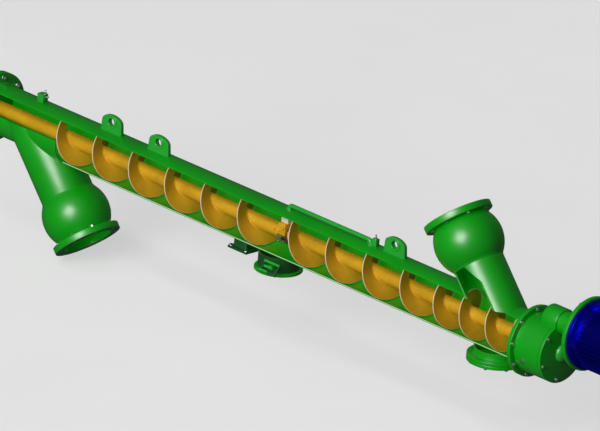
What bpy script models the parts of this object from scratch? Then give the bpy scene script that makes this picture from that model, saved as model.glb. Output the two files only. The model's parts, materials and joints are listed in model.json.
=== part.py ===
"""Tubular screw conveyor, cut away along one side to show the screw.

Metres, +Z up.  The housing tube lies along X with its drive end at +X.  The long window
faces -Y.  Everything is placed in a frame on the tube's axis at the drive end flange, and
one empty carries that frame so that the part's own origin lies on the inlet flange.
"""

import math

import bmesh
import bpy
from mathutils import Matrix, Vector

# Fits
GAP = 0.0003
RUNNING_GAP = 0.0005

# Housing tube
TUBE_RADIUS = 0.1365
TUBE_WALL = 0.006
TUBE_LENGTH = 4.070
WINDOW_DEPTH = 0.070
WINDOW_END_MARGIN = 0.045
WINDOW_STEP_X = -3.460
WINDOW_STEP_HEIGHT = 0.020
HOLE_MARGIN = 0.006
CUT_REACH = 0.400

# End flanges and discharge end bearing
FLANGE_RADIUS = 0.192
FLANGE_THICKNESS = 0.025
END_PLATE_THICKNESS = 0.020
TAIL_HOUSING_RADIUS = 0.085
TAIL_HOUSING_LENGTH = 0.075
TAIL_CAP_RADIUS = 0.060
TAIL_CAP_THICKNESS = 0.016
TAIL_CAP_MARGIN = 0.008
TAIL_SHOULDER = 0.012
TAIL_SHOULDER_SHARE = 0.4
TAIL_PASSAGE_CLEARANCE = 0.005
TAIL_JOURNAL_CLEARANCE = 0.004

# Screw
SHAFT_RADIUS = 0.038
JOURNAL_RADIUS = 0.030
FLIGHT_RADIUS = 0.125
FLIGHT_THICKNESS = 0.006
SHAFT_END_INSET = 0.030
DRIVE_END_INSET = 0.020
DRIVE_JOURNAL_END = 0.050
# Each flight: X where its rim crosses the window side, pitch, first turn, last turn
DISCHARGE_FLIGHT = (-3.457, 0.2754, -0.35, 5.60)
MIDDLE_FLIGHT = (-1.695, 0.2750, -0.27, 3.5625)
FEED_FLIGHT = (-0.628, 0.1900, -0.4350, 2.990)

# Hanger bearing half way along the tube
HANGER_X = -1.832
HANGER_WIDTH = 0.052
HANGER_RADIUS = 0.054
HANGER_SHAFT_GAP = 0.006
HANGER_POST_WIDTH = 0.050
HANGER_POST_DEPTH = 0.060
HANGER_POST_BOTTOM = 0.030

# Slanted inlet and outlet, whose axes lean from the tube's normal by this angle
SPOUT_LEAN = math.radians(41.0)
BRANCH_WALL = 0.006
INLET_FOOT_X = -0.206
INLET_BRANCH_RADIUS = 0.1365
INLET_BALL_DISTANCE = 0.500
INLET_CUT_DEPTH = 0.110
# Window in the inlet branch: its outline seen from the side, in X and Z
INLET_CUT_OUTLINE = ((-0.700, 0.4165), (-0.442, 0.304), (-0.332, 0.256), (0.200, 0.024), (0.200, -0.050),
                     (-0.700, -0.050))
OUTLET_FOOT_X = -3.748
OUTLET_BRANCH_RADIUS = 0.146
OUTLET_BALL_DISTANCE = 0.537
OUTLET_WALL_TOP = WINDOW_STEP_HEIGHT
BRANCH_INSERTION = 0.105
INLET_BRANCH_START = -0.200
OUTLET_BRANCH_START = -0.250
BALL_RADIUS = 0.185
BALL_WALL = 0.007
BALL_TO_FACE = 0.155
SPOUT_FLANGE_RADIUS = 0.186
SPOUT_FLANGE_THICKNESS = 0.036
SPOUT_BORE_RADIUS = 0.134
SPOUT_BOLT_CIRCLE = 0.161
SPOUT_BOLT_COUNT = 8
SPOUT_BOLT_HOLE_RADIUS = 0.009

# Lifting lugs
LUG_POSITIONS = (-3.178, -2.818, -1.047)
LUG_BASE_HALF_WIDTH = 0.082
LUG_HALF_WIDTH = 0.072
LUG_FOOT_HEIGHT = 0.110
LUG_HOLE_HEIGHT = 0.192
LUG_TOP = 0.230
LUG_THICKNESS = 0.020
LUG_HOLE_RADIUS = 0.021
LUG_BOSS_RADIUS = 0.036
LUG_BOSS_THICKNESS = 0.028
LUG_ARC_STEPS = 16

# Grease blocks and the pipe to the hanger bearing
# Each block: middle X, length along the tube, width across it, height of its top
GREASE_BLOCKS = ((-3.717, 0.046, 0.036, 0.182), (-1.194, 0.032, 0.026, 0.176))
GREASE_BLOCK_FOOT = 0.120
GREASE_PIPE_RADIUS = 0.0115
GREASE_PIPE_HEIGHT = 0.157
GREASE_PIPE_BEND = 0.018
GREASE_PIPE_END_X = -1.228
GREASE_PIPE_BEND_STEPS = 8

# Round hatches under the tube
MID_HATCH_X = -1.877
MID_HATCH_COLLAR_RADIUS = 0.112
MID_HATCH_COVER_RADIUS = 0.130
MID_HATCH_TOP = -0.200
MID_HATCH_COVER_THICKNESS = 0.016
MID_LATCH_LENGTH = 0.122
MID_LATCH_WIDTH = 0.070
MID_LATCH_THICKNESS = 0.012
MID_LATCH_BAR = 0.015
MID_LATCH_SLOT_LENGTH = 0.092
MID_LATCH_X = -1.814
MID_LATCH_REACH = 0.131
MID_LATCH_HEIGHT = -0.163
MID_LATCH_TILT = math.radians(42.0)
MID_LATCH_ARM_LENGTH = 0.030
MID_LATCH_ARM_HEIGHT = 0.024
FEED_HATCH_X = -0.270
FEED_HATCH_COLLAR_RADIUS = 0.122
FEED_HATCH_COVER_RADIUS = 0.155
FEED_HATCH_RIM_TOP = -0.156
FEED_HATCH_RIM_THICKNESS = 0.018
FEED_HATCH_COVER_THICKNESS = 0.019
HATCH_WALL = 0.006
HATCH_HOLE_MARGIN = 0.010
HATCH_TOP = -0.050
HATCH_HOLE_BOTTOM = -0.300

# Bracket under the tube, left of the middle hatch
BRACKET_X = -2.115
BRACKET_LENGTH = 0.140
BRACKET_WIDTH = 0.156
BRACKET_BOTTOM = -0.176
BRACKET_PLATE = 0.012
BRACKET_WEB_LENGTH = 0.096
BRACKET_WEB_WIDTH = 0.110
BRACKET_WEB_TOP = -0.090

# Gearbox
GEARBOX_RADIUS = 0.164
GEARBOX_LENGTH = 0.168
GEARBOX_SHAFT_ROOM = 0.056
GEARBOX_COVER_END = 0.190
GEARBOX_BOSS_RADIUS = 0.050
GEARBOX_BOSS_HEIGHT = 0.030
MOTOR_AXIS_HEIGHT = 0.165
INPUT_HOUSING_START = 0.084
INPUT_HOUSING_RADIUS = 0.072
ADAPTER_RADIUS = 0.062

# Motor
MOTOR_FLANGE_START = 0.356
MOTOR_FLANGE_RADIUS = 0.198
MOTOR_FLANGE_THICKNESS = 0.025
MOTOR_SHIELD_RADIUS = 0.187
MOTOR_SHIELD_RIM = 0.020
MOTOR_SHIELD_LENGTH = 0.064
MOTOR_SHIELD_HUB_RADIUS = 0.150
MOTOR_SHIELD_RIB = 0.044
MOTOR_BODY_RADIUS = 0.154
MOTOR_BODY_LENGTH = 0.330
MOTOR_FIN_COUNT = 40
MOTOR_FIN_HEIGHT = 0.022
MOTOR_FIN_ROOT_SHARE = 0.22
MOTOR_FIN_TIP_SHARE = 0.14
MOTOR_COWL_RADIUS = 0.182
MOTOR_COWL_LENGTH = 0.130
MOTOR_COWL_ROUNDING = ((0.025, 0.000), (0.008, 0.010), (0.000, 0.030))
MOTOR_BOX_LENGTH = 0.170
MOTOR_BOX_WIDTH = 0.150
MOTOR_BOX_HEIGHT = 0.075
MOTOR_BOX_OFFSET = 0.130

# Facets round a full turn
ROUND = 48
SMALL_ROUND = 32
BALL_OUTER_STEPS = 14
BALL_INNER_STEPS = 8
FLIGHT_STEPS_PER_TURN = 32

AXIS_X = Vector((1.0, 0.0, 0.0))
AXIS_Z = Vector((0.0, 0.0, 1.0))
SPOUT_DOWN = Vector((math.sin(SPOUT_LEAN), 0.0, -math.cos(SPOUT_LEAN)))
SPOUT_SIDE = Vector((math.cos(SPOUT_LEAN), 0.0, math.sin(SPOUT_LEAN)))
INLET_FOOT = Vector((INLET_FOOT_X, 0.0, 0.0))
OUTLET_FOOT = Vector((OUTLET_FOOT_X, 0.0, 0.0))
INLET_BALL_CENTRE = INLET_FOOT - SPOUT_DOWN * INLET_BALL_DISTANCE
OUTLET_BALL_CENTRE = OUTLET_FOOT + SPOUT_DOWN * OUTLET_BALL_DISTANCE
INLET_FACE = INLET_BALL_CENTRE - SPOUT_DOWN * BALL_TO_FACE
MOUNT_POINT = INLET_FACE + SPOUT_SIDE * (SPOUT_BORE_RADIUS + SPOUT_FLANGE_RADIUS) / 2


def clear_scene():
    """Remove whatever the file already holds."""
    for item in list(bpy.data.objects):
        bpy.data.objects.remove(item, do_unlink=True)


def make_material(name, colour, roughness, metallic):
    """A plain Principled material."""
    material = bpy.data.materials.new(name)
    material.use_nodes = True
    shader = material.node_tree.nodes["Principled BSDF"]
    shader.inputs["Base Color"].default_value = (*colour, 1.0)
    shader.inputs["Roughness"].default_value = roughness
    shader.inputs["Metallic"].default_value = metallic
    return material


def green_paint(name):
    return make_material(name + "_paint", (0.02, 0.36, 0.03), 0.32, 0.0)


def gold_paint(name):
    return make_material(name + "_paint", (0.62, 0.34, 0.05), 0.38, 0.3)


def blue_paint(name):
    return make_material(name + "_paint", (0.02, 0.03, 0.42), 0.38, 0.0)


def bare_steel(name):
    return make_material(name + "_steel", (0.62, 0.63, 0.64), 0.35, 1.0)


def add_object(name, mesh_builder, material=None, location=(0, 0, 0), axis=AXIS_Z):
    """Turn a bmesh into an object of the tube frame, its local Z along the given axis."""
    mesh = bpy.data.meshes.new(name)
    bmesh.ops.recalc_face_normals(mesh_builder, faces=mesh_builder.faces)
    mesh_builder.to_mesh(mesh)
    mesh_builder.free()
    thing = bpy.data.objects.new(name, mesh)
    bpy.context.scene.collection.objects.link(thing)
    thing.parent = TUBE_FRAME
    thing.location = location
    thing.rotation_mode = "QUATERNION"
    thing.rotation_quaternion = AXIS_Z.rotation_difference(axis)
    if material is not None:
        mesh.materials.append(material)
        mesh.shade_smooth()
        mesh.set_sharp_from_angle(angle=math.radians(30))
    return thing


def turned(profile, segments):
    """Revolve (height, radius) points about local Z; a profile off the axis is a ring."""
    builder = bmesh.new()
    rings = []
    for height, radius in profile:
        if radius == 0.0:
            rings.append([builder.verts.new((0.0, 0.0, height))])
            continue
        ring = []
        for step in range(segments):
            angle = 2 * math.pi * step / segments
            ring.append(builder.verts.new((radius * math.cos(angle), radius * math.sin(angle), height)))
        rings.append(ring)
    pairs = list(zip(rings, rings[1:]))
    if len(rings[0]) > 1:
        pairs.append((rings[-1], rings[0]))
    for first, second in pairs:
        for step in range(segments):
            after = (step + 1) % segments
            corners = []
            for corner in (first[step % len(first)], first[after % len(first)],
                           second[after % len(second)], second[step % len(second)]):
                if corner not in corners:
                    corners.append(corner)
            builder.faces.new(corners)
    return builder


def rod(start, end, radius, segments=ROUND):
    return turned([(start, 0.0), (start, radius), (end, radius), (end, 0.0)], segments)


def ring(start, end, outer, inner, segments=ROUND):
    return turned([(start, inner), (start, outer), (end, outer), (end, inner)], segments)


def block(size_x, size_y, size_z):
    """A box centred on its own origin."""
    builder = bmesh.new()
    bmesh.ops.create_cube(builder, size=1.0)
    bmesh.ops.scale(builder, vec=(size_x, size_y, size_z), verts=builder.verts)
    return builder


def plate(outline, thickness):
    """Extrude an outline in the XZ plane to both sides of Y = 0."""
    builder = bmesh.new()
    near = [builder.verts.new((x, -thickness / 2, z)) for x, z in outline]
    far = [builder.verts.new((x, thickness / 2, z)) for x, z in outline]
    builder.faces.new(near)
    builder.faces.new(far)
    for index in range(len(outline)):
        after = (index + 1) % len(outline)
        builder.faces.new((near[index], near[after], far[after], far[index]))
    return builder


def cutter(name, builder, location=(0, 0, 0), axis=AXIS_Z):
    """A shape that only removes material from others."""
    thing = add_object(name, builder, None, location, axis)
    thing.hide_render = True
    thing.display_type = "WIRE"
    return thing


def combine(thing, other, operation="DIFFERENCE"):
    modifier = thing.modifiers.new(other.name, "BOOLEAN")
    modifier.operation = operation
    modifier.solver = "EXACT"
    modifier.object = other
    return thing


def bore_radius(radius, clearance, segments):
    """Corner radius of a faceted bore whose flats clear a round of the given radius."""
    return (radius + clearance) / math.cos(math.pi / segments)


TUBE_CLEARANCE_RADIUS = bore_radius(TUBE_RADIUS, GAP, ROUND)


def build_tube():
    """The housing tube with its window and the holes under the spouts and hatches."""
    tube = add_object("housing_tube", ring(-TUBE_LENGTH, 0.0, TUBE_RADIUS, TUBE_RADIUS - TUBE_WALL),
                      green_paint("housing_tube"), axis=AXIS_X)
    left = -TUBE_LENGTH + WINDOW_END_MARGIN
    right = -WINDOW_END_MARGIN
    low = -TUBE_RADIUS
    outline = [(left, WINDOW_STEP_HEIGHT), (WINDOW_STEP_X, WINDOW_STEP_HEIGHT), (WINDOW_STEP_X, low),
               (right, low), (right, TUBE_RADIUS), (left, TUBE_RADIUS)]
    depth = TUBE_RADIUS
    window = cutter("cut_window", plate(outline, depth), (0.0, -WINDOW_DEPTH - depth / 2, 0.0))
    combine(tube, window)
    hole = INLET_BRANCH_RADIUS - BRANCH_WALL - HOLE_MARGIN
    combine(tube, cutter("cut_inlet_hole", rod(0.0, CUT_REACH, hole), INLET_FOOT, -SPOUT_DOWN))
    combine(tube, cutter("cut_outlet_hole", rod(0.0, CUT_REACH, hole), OUTLET_FOOT, SPOUT_DOWN))
    for label, x, radius in (("mid", MID_HATCH_X, MID_HATCH_COLLAR_RADIUS),
                             ("feed", FEED_HATCH_X, FEED_HATCH_COLLAR_RADIUS)):
        opening = rod(HATCH_HOLE_BOTTOM, HATCH_TOP, radius - HATCH_WALL - HATCH_HOLE_MARGIN)
        combine(tube, cutter("cut_%s_hatch_hole" % label, opening, (x, 0.0, 0.0)))
    return tube


def build_end_flanges():
    for name, start in (("drive_end_flange", -FLANGE_THICKNESS),
                        ("discharge_end_flange", -TUBE_LENGTH)):
        add_object(name, ring(start, start + FLANGE_THICKNESS, FLANGE_RADIUS, TUBE_CLEARANCE_RADIUS),
                   green_paint(name), axis=AXIS_X)


def build_discharge_end():
    """End plate, bearing housing and cap that carry the screw's tail."""
    plate_outer = -TUBE_LENGTH - GAP
    plate_inner = plate_outer - END_PLATE_THICKNESS
    seat = bore_radius(JOURNAL_RADIUS, RUNNING_GAP, SMALL_ROUND)
    passage = bore_radius(JOURNAL_RADIUS, TAIL_PASSAGE_CLEARANCE, ROUND)
    add_object("discharge_end_plate", ring(plate_inner, plate_outer, FLANGE_RADIUS, passage),
               green_paint("discharge_end_plate"), axis=AXIS_X)
    housing_end = plate_inner - GAP
    housing_start = housing_end - TAIL_HOUSING_LENGTH
    shoulder = housing_start + TAIL_SHOULDER_SHARE * TAIL_HOUSING_LENGTH
    profile = [(housing_start, seat), (housing_start, TAIL_CAP_RADIUS + TAIL_CAP_MARGIN),
               (shoulder, TAIL_CAP_RADIUS + TAIL_SHOULDER), (shoulder + TAIL_SHOULDER, TAIL_HOUSING_RADIUS),
               (housing_end, TAIL_HOUSING_RADIUS), (housing_end, seat)]
    add_object("discharge_bearing_housing", turned(profile, SMALL_ROUND),
               green_paint("discharge_bearing_housing"), axis=AXIS_X)
    cap_end = housing_start - GAP
    cap = rod(cap_end - TAIL_CAP_THICKNESS, cap_end, TAIL_CAP_RADIUS, SMALL_ROUND)
    add_object("discharge_bearing_cap", cap, green_paint("discharge_bearing_cap"), axis=AXIS_X)
    return housing_start


def flight_mesh(front, pitch, first_turn, last_turn):
    """A right-hand helicoid plate; front is where its rim crosses the window side."""
    builder = bmesh.new()
    steps = math.ceil((last_turn - first_turn) * FLIGHT_STEPS_PER_TURN)
    inner = bore_radius(SHAFT_RADIUS, GAP, FLIGHT_STEPS_PER_TURN)
    sections = []
    for step in range(steps + 1):
        turn = first_turn + (last_turn - first_turn) * step / steps
        angle = 2 * math.pi * turn
        centre = front + pitch * turn
        corners = []
        for radius, offset in ((inner, -0.5), (FLIGHT_RADIUS, -0.5), (FLIGHT_RADIUS, 0.5), (inner, 0.5)):
            x = centre + offset * FLIGHT_THICKNESS
            corners.append(builder.verts.new((x, -radius * math.cos(angle), -radius * math.sin(angle))))
        sections.append(corners)
    for first, second in zip(sections, sections[1:]):
        for index in range(4):
            after = (index + 1) % 4
            builder.faces.new((first[index], first[after], second[after], second[index]))
    builder.faces.new(sections[0])
    builder.faces.new(sections[-1])
    return builder


def build_screw(tail_start):
    """Shaft sections, flights and journals; they turn together about the tube's axis."""
    discharge_end = -TUBE_LENGTH + SHAFT_END_INSET
    hanger_left = HANGER_X - HANGER_WIDTH / 2 - HANGER_SHAFT_GAP
    hanger_right = HANGER_X + HANGER_WIDTH / 2 + HANGER_SHAFT_GAP
    add_object("discharge_shaft", rod(discharge_end, hanger_left, SHAFT_RADIUS, SMALL_ROUND),
               gold_paint("discharge_shaft"), axis=AXIS_X)
    drive_end = -DRIVE_END_INSET
    add_object("feed_shaft", rod(hanger_right, drive_end, SHAFT_RADIUS, SMALL_ROUND),
               gold_paint("feed_shaft"), axis=AXIS_X)
    add_object("hanger_journal", rod(hanger_left + GAP, hanger_right - GAP, JOURNAL_RADIUS, SMALL_ROUND),
               bare_steel("hanger_journal"), axis=AXIS_X)
    add_object("tail_journal",
               rod(tail_start + TAIL_JOURNAL_CLEARANCE, discharge_end - GAP, JOURNAL_RADIUS, SMALL_ROUND),
               bare_steel("tail_journal"), axis=AXIS_X)
    add_object("drive_journal", rod(drive_end + GAP, DRIVE_JOURNAL_END, JOURNAL_RADIUS, SMALL_ROUND),
               bare_steel("drive_journal"), axis=AXIS_X)
    for name, flight in (("discharge_flights", DISCHARGE_FLIGHT), ("middle_flights", MIDDLE_FLIGHT),
                         ("feed_flights", FEED_FLIGHT)):
        add_object(name, flight_mesh(*flight), gold_paint(name))


def build_hanger():
    """Post on the tube's top, with the split bearing that carries the screw's middle."""
    centre = (HANGER_X, 0.0, 0.0)
    half = HANGER_WIDTH / 2
    far = TUBE_RADIUS
    top = TUBE_RADIUS
    height = top - HANGER_POST_BOTTOM
    post = add_object("hanger_post", block(HANGER_POST_WIDTH, HANGER_POST_DEPTH, height),
                      bare_steel("hanger_post"), (HANGER_X, 0.0, HANGER_POST_BOTTOM + height / 2))
    outside = ring(-far, far, 2 * far, TUBE_RADIUS - TUBE_WALL - GAP)
    combine(post, cutter("cut_post_top", outside, centre, AXIS_X))
    saddle = bore_radius(HANGER_RADIUS, GAP, SMALL_ROUND)
    combine(post, cutter("cut_post_saddle", rod(-far, far, saddle, SMALL_ROUND), centre, AXIS_X))
    seat = bore_radius(JOURNAL_RADIUS, RUNNING_GAP, SMALL_ROUND)
    halves = (("hanger_bearing", gold_paint, -far), ("hanger_bearing_cap", bare_steel, far - GAP))
    for name, finish, middle in halves:
        shell = ring(-half, half, HANGER_RADIUS, seat, SMALL_ROUND)
        part = add_object(name, shell, finish(name), centre, AXIS_X)
        other_half = block(2 * far, 2 * far, 2 * far)
        combine(part, cutter("cut_away_from_" + name, other_half, (HANGER_X, 0.0, middle)))


def ball_profile(hole_radius):
    """Half section of a hollow ball, from its pipe hole to the flange's back."""
    top = BALL_TO_FACE - SPOUT_FLANGE_THICKNESS - GAP
    inner_radius = BALL_RADIUS - BALL_WALL
    low = math.asin(hole_radius / BALL_RADIUS)
    low_inner = math.asin(hole_radius / inner_radius)
    high = math.acos(top / BALL_RADIUS)
    high_inner = math.acos(top / inner_radius)
    profile = []
    for step in range(BALL_OUTER_STEPS + 1):
        angle = math.pi - low + (high - math.pi + low) * step / BALL_OUTER_STEPS
        profile.append((BALL_RADIUS * math.cos(angle), BALL_RADIUS * math.sin(angle)))
    for step in range(BALL_INNER_STEPS + 1):
        angle = high_inner + (math.pi - low_inner - high_inner) * step / BALL_INNER_STEPS
        profile.append((inner_radius * math.cos(angle), inner_radius * math.sin(angle)))
    return profile


def build_spout_end(label, centre, outward, branch_radius):
    """Ball and bolted flange at the end of a branch."""
    hole = bore_radius(branch_radius, GAP, ROUND)
    ball = turned(ball_profile(hole), ROUND)
    add_object(label + "_ball", ball, green_paint(label + "_ball"), centre, outward)
    back = BALL_TO_FACE - SPOUT_FLANGE_THICKNESS
    flange = add_object(label + "_flange", ring(back, BALL_TO_FACE, SPOUT_FLANGE_RADIUS, SPOUT_BORE_RADIUS),
                        green_paint(label + "_flange"), centre, outward)
    holes = bmesh.new()
    for index in range(SPOUT_BOLT_COUNT):
        angle = 2 * math.pi * (index + 0.5) / SPOUT_BOLT_COUNT
        spot = SPOUT_BOLT_CIRCLE * Vector((math.cos(angle), math.sin(angle), 0.0)) + AXIS_Z * BALL_TO_FACE
        bmesh.ops.create_cone(holes, cap_ends=True, segments=12, radius1=SPOUT_BOLT_HOLE_RADIUS,
                              radius2=SPOUT_BOLT_HOLE_RADIUS, depth=3 * SPOUT_FLANGE_THICKNESS,
                              matrix=Matrix.Translation(spot))
    combine(flange, cutter("cut_%s_bolt_holes" % label, holes, centre, outward))


def build_branches():
    """Slanted pipes between the tube and the two balls."""
    around_tube = cutter("cut_around_tube",
                         rod(-TUBE_LENGTH - CUT_REACH, CUT_REACH, TUBE_CLEARANCE_RADIUS), axis=AXIS_X)
    inlet = add_object("inlet_branch",
                       ring(INLET_BRANCH_START, INLET_BALL_DISTANCE - BRANCH_INSERTION, INLET_BRANCH_RADIUS,
                            INLET_BRANCH_RADIUS - BRANCH_WALL),
                       green_paint("inlet_branch"), INLET_FOOT, -SPOUT_DOWN)
    combine(inlet, around_tube)
    reach = 2 * CUT_REACH
    combine(inlet, cutter("cut_below_inlet", block(reach, reach, reach), (INLET_FOOT_X, 0.0, -reach / 2)))
    window = cutter("cut_inlet_window", plate(INLET_CUT_OUTLINE, CUT_REACH),
                    (0.0, -INLET_CUT_DEPTH - CUT_REACH / 2, 0.0))
    combine(inlet, window)
    outlet = add_object("outlet_branch",
                        ring(OUTLET_BRANCH_START, OUTLET_BALL_DISTANCE - BRANCH_INSERTION,
                             OUTLET_BRANCH_RADIUS, TUBE_CLEARANCE_RADIUS),
                        green_paint("outlet_branch"), OUTLET_FOOT, SPOUT_DOWN)
    combine(outlet, around_tube)
    combine(outlet, cutter("cut_above_outlet", block(reach, reach, reach),
                           (OUTLET_FOOT_X, 0.0, OUTLET_WALL_TOP + reach / 2)))


def build_lugs():
    rise = LUG_TOP - LUG_HOLE_HEIGHT
    outline = [(-LUG_BASE_HALF_WIDTH, LUG_FOOT_HEIGHT), (LUG_BASE_HALF_WIDTH, LUG_FOOT_HEIGHT)]
    for step in range(LUG_ARC_STEPS + 1):
        angle = math.pi * step / LUG_ARC_STEPS
        outline.append((LUG_HALF_WIDTH * math.cos(angle), LUG_HOLE_HEIGHT + rise * math.sin(angle)))
    across = Vector((0.0, 1.0, 0.0))
    half = LUG_BOSS_THICKNESS / 2
    for number, x in enumerate(LUG_POSITIONS, start=1):
        eye_centre = (x, 0.0, LUG_HOLE_HEIGHT)
        name = "lifting_lug_%d" % number
        lug = add_object(name, plate(outline, LUG_THICKNESS), green_paint(name), (x, 0.0, 0.0))
        seat = rod(-CUT_REACH, CUT_REACH, TUBE_CLEARANCE_RADIUS)
        combine(lug, cutter("cut_lug_seat_%d" % number, seat, (x, 0.0, 0.0), AXIS_X))
        eye = rod(-LUG_THICKNESS, LUG_THICKNESS, (LUG_HOLE_RADIUS + LUG_BOSS_RADIUS) / 2, SMALL_ROUND)
        combine(lug, cutter("cut_lug_eye_%d" % number, eye, eye_centre, across))
        boss = ring(-half, half, LUG_BOSS_RADIUS, LUG_HOLE_RADIUS, SMALL_ROUND)
        combine(lug, cutter("lug_boss_%d" % number, boss, eye_centre, across), "UNION")


def build_grease_line():
    """Two blocks on the tube's top and the pipe from one of them to the hanger bearing."""
    for number, (x, length, width, top) in enumerate(GREASE_BLOCKS, start=1):
        name = "grease_block_%d" % number
        height = top - GREASE_BLOCK_FOOT
        body = add_object(name, block(length, width, height), green_paint(name),
                          (x, 0.0, GREASE_BLOCK_FOOT + height / 2))
        seat = rod(-CUT_REACH, CUT_REACH, TUBE_CLEARANCE_RADIUS)
        combine(body, cutter("cut_block_seat_%d" % number, seat, (x, 0.0, 0.0), AXIS_X))
    curve = bpy.data.curves.new("grease_pipe", "CURVE")
    curve.dimensions = "3D"
    curve.bevel_depth = GREASE_PIPE_RADIUS
    curve.bevel_resolution = 3
    curve.use_fill_caps = True
    foot = TUBE_RADIUS + 2 * GAP
    bend = []
    for step in range(GREASE_PIPE_BEND_STEPS + 1):
        angle = math.pi / 2 * step / GREASE_PIPE_BEND_STEPS
        bend.append((GREASE_PIPE_BEND * (1 - math.cos(angle)), GREASE_PIPE_BEND * (1 - math.sin(angle))))
    points = [(HANGER_X, 0.0, foot)]
    points += [(HANGER_X + inset, 0.0, GREASE_PIPE_HEIGHT - drop) for inset, drop in bend]
    points += [(GREASE_PIPE_END_X - inset, 0.0, GREASE_PIPE_HEIGHT - drop) for inset, drop in reversed(bend)]
    points.append((GREASE_PIPE_END_X, 0.0, foot))
    spline = curve.splines.new("POLY")
    spline.points.add(len(points) - 1)
    for point, place in zip(spline.points, points):
        point.co = (*place, 1.0)
    pipe = bpy.data.objects.new("grease_pipe", curve)
    bpy.context.scene.collection.objects.link(pipe)
    pipe.parent = TUBE_FRAME
    curve.materials.append(green_paint("grease_pipe"))


def build_hatches():
    """Round clean-out hatches under the hanger bearing and under the inlet."""
    below_tube = cutter("cut_hatch_tops", rod(-TUBE_LENGTH, 0.0, TUBE_CLEARANCE_RADIUS), axis=AXIS_X)
    inner = MID_HATCH_COLLAR_RADIUS - HATCH_WALL
    collar = add_object("mid_hatch_collar", ring(MID_HATCH_TOP, HATCH_TOP, MID_HATCH_COLLAR_RADIUS, inner),
                        green_paint("mid_hatch_collar"), (MID_HATCH_X, 0.0, 0.0))
    combine(collar, below_tube)
    add_object("mid_hatch_cover",
               rod(MID_HATCH_TOP - GAP - MID_HATCH_COVER_THICKNESS, MID_HATCH_TOP - GAP, MID_HATCH_COVER_RADIUS),
               green_paint("mid_hatch_cover"), (MID_HATCH_X, 0.0, 0.0))
    inner = FEED_HATCH_COLLAR_RADIUS - HATCH_WALL
    rim_bottom = FEED_HATCH_RIM_TOP - FEED_HATCH_RIM_THICKNESS
    profile = [(rim_bottom, inner), (rim_bottom, FEED_HATCH_COVER_RADIUS),
               (FEED_HATCH_RIM_TOP, FEED_HATCH_COVER_RADIUS), (FEED_HATCH_RIM_TOP, FEED_HATCH_COLLAR_RADIUS),
               (HATCH_TOP, FEED_HATCH_COLLAR_RADIUS), (HATCH_TOP, inner)]
    spout = add_object("feed_hatch_spout", turned(profile, ROUND), green_paint("feed_hatch_spout"),
                       (FEED_HATCH_X, 0.0, 0.0))
    combine(spout, below_tube)
    add_object("feed_hatch_cover",
               rod(rim_bottom - GAP - FEED_HATCH_COVER_THICKNESS, rim_bottom - GAP, FEED_HATCH_COVER_RADIUS),
               green_paint("feed_hatch_cover"), (FEED_HATCH_X, 0.0, 0.0))


def build_mid_latch():
    """Slotted square clamp plate on the front of the middle hatch."""
    place = (MID_LATCH_X, -MID_LATCH_REACH, MID_LATCH_HEIGHT)
    normal = Vector((0.0, -math.cos(MID_LATCH_TILT), math.sin(MID_LATCH_TILT)))
    latch = add_object("mid_hatch_latch", block(MID_LATCH_LENGTH, MID_LATCH_WIDTH, MID_LATCH_THICKNESS),
                       green_paint("mid_hatch_latch"), place, normal)
    slot_width = (MID_LATCH_WIDTH - 3 * MID_LATCH_BAR) / 2
    offset = (MID_LATCH_BAR + slot_width) / 2
    along = normal.cross(AXIS_X)
    for label, side in (("low", 1), ("high", -1)):
        slot = block(MID_LATCH_SLOT_LENGTH, slot_width, 2 * MID_LATCH_THICKNESS)
        combine(latch, cutter("cut_latch_slot_" + label, slot, Vector(place) + along * side * offset, normal))
    arm_end = math.sqrt(MID_HATCH_COLLAR_RADIUS ** 2 - (MID_LATCH_X - MID_HATCH_X) ** 2) - MID_LATCH_ARM_LENGTH
    arm_length = MID_LATCH_REACH - arm_end
    arm = cutter("latch_arm", block(MID_LATCH_ARM_LENGTH, arm_length, MID_LATCH_ARM_HEIGHT),
                 (MID_LATCH_X, -arm_end - arm_length / 2, MID_LATCH_HEIGHT))
    combine(latch, arm, "UNION")
    around = bore_radius(MID_HATCH_COLLAR_RADIUS, GAP, ROUND)
    combine(latch, cutter("cut_latch_seat", rod(-CUT_REACH, CUT_REACH, around), (MID_HATCH_X, 0.0, 0.0)))


def build_underside_bracket():
    """Saddle with a flat foot under the tube, for a support leg."""
    web_height = BRACKET_WEB_TOP - BRACKET_BOTTOM
    bracket = add_object("underside_bracket", block(BRACKET_LENGTH, BRACKET_WIDTH, BRACKET_PLATE),
                         green_paint("underside_bracket"),
                         (BRACKET_X, 0.0, BRACKET_BOTTOM + BRACKET_PLATE / 2))
    web = cutter("bracket_web", block(BRACKET_WEB_LENGTH, BRACKET_WEB_WIDTH, web_height - GAP),
                 (BRACKET_X, 0.0, BRACKET_WEB_TOP - (web_height - GAP) / 2))
    combine(bracket, web, "UNION")
    seat = rod(-CUT_REACH, CUT_REACH, TUBE_CLEARANCE_RADIUS)
    combine(bracket, cutter("cut_bracket_seat", seat, (BRACKET_X, 0.0, 0.0), AXIS_X))


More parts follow.
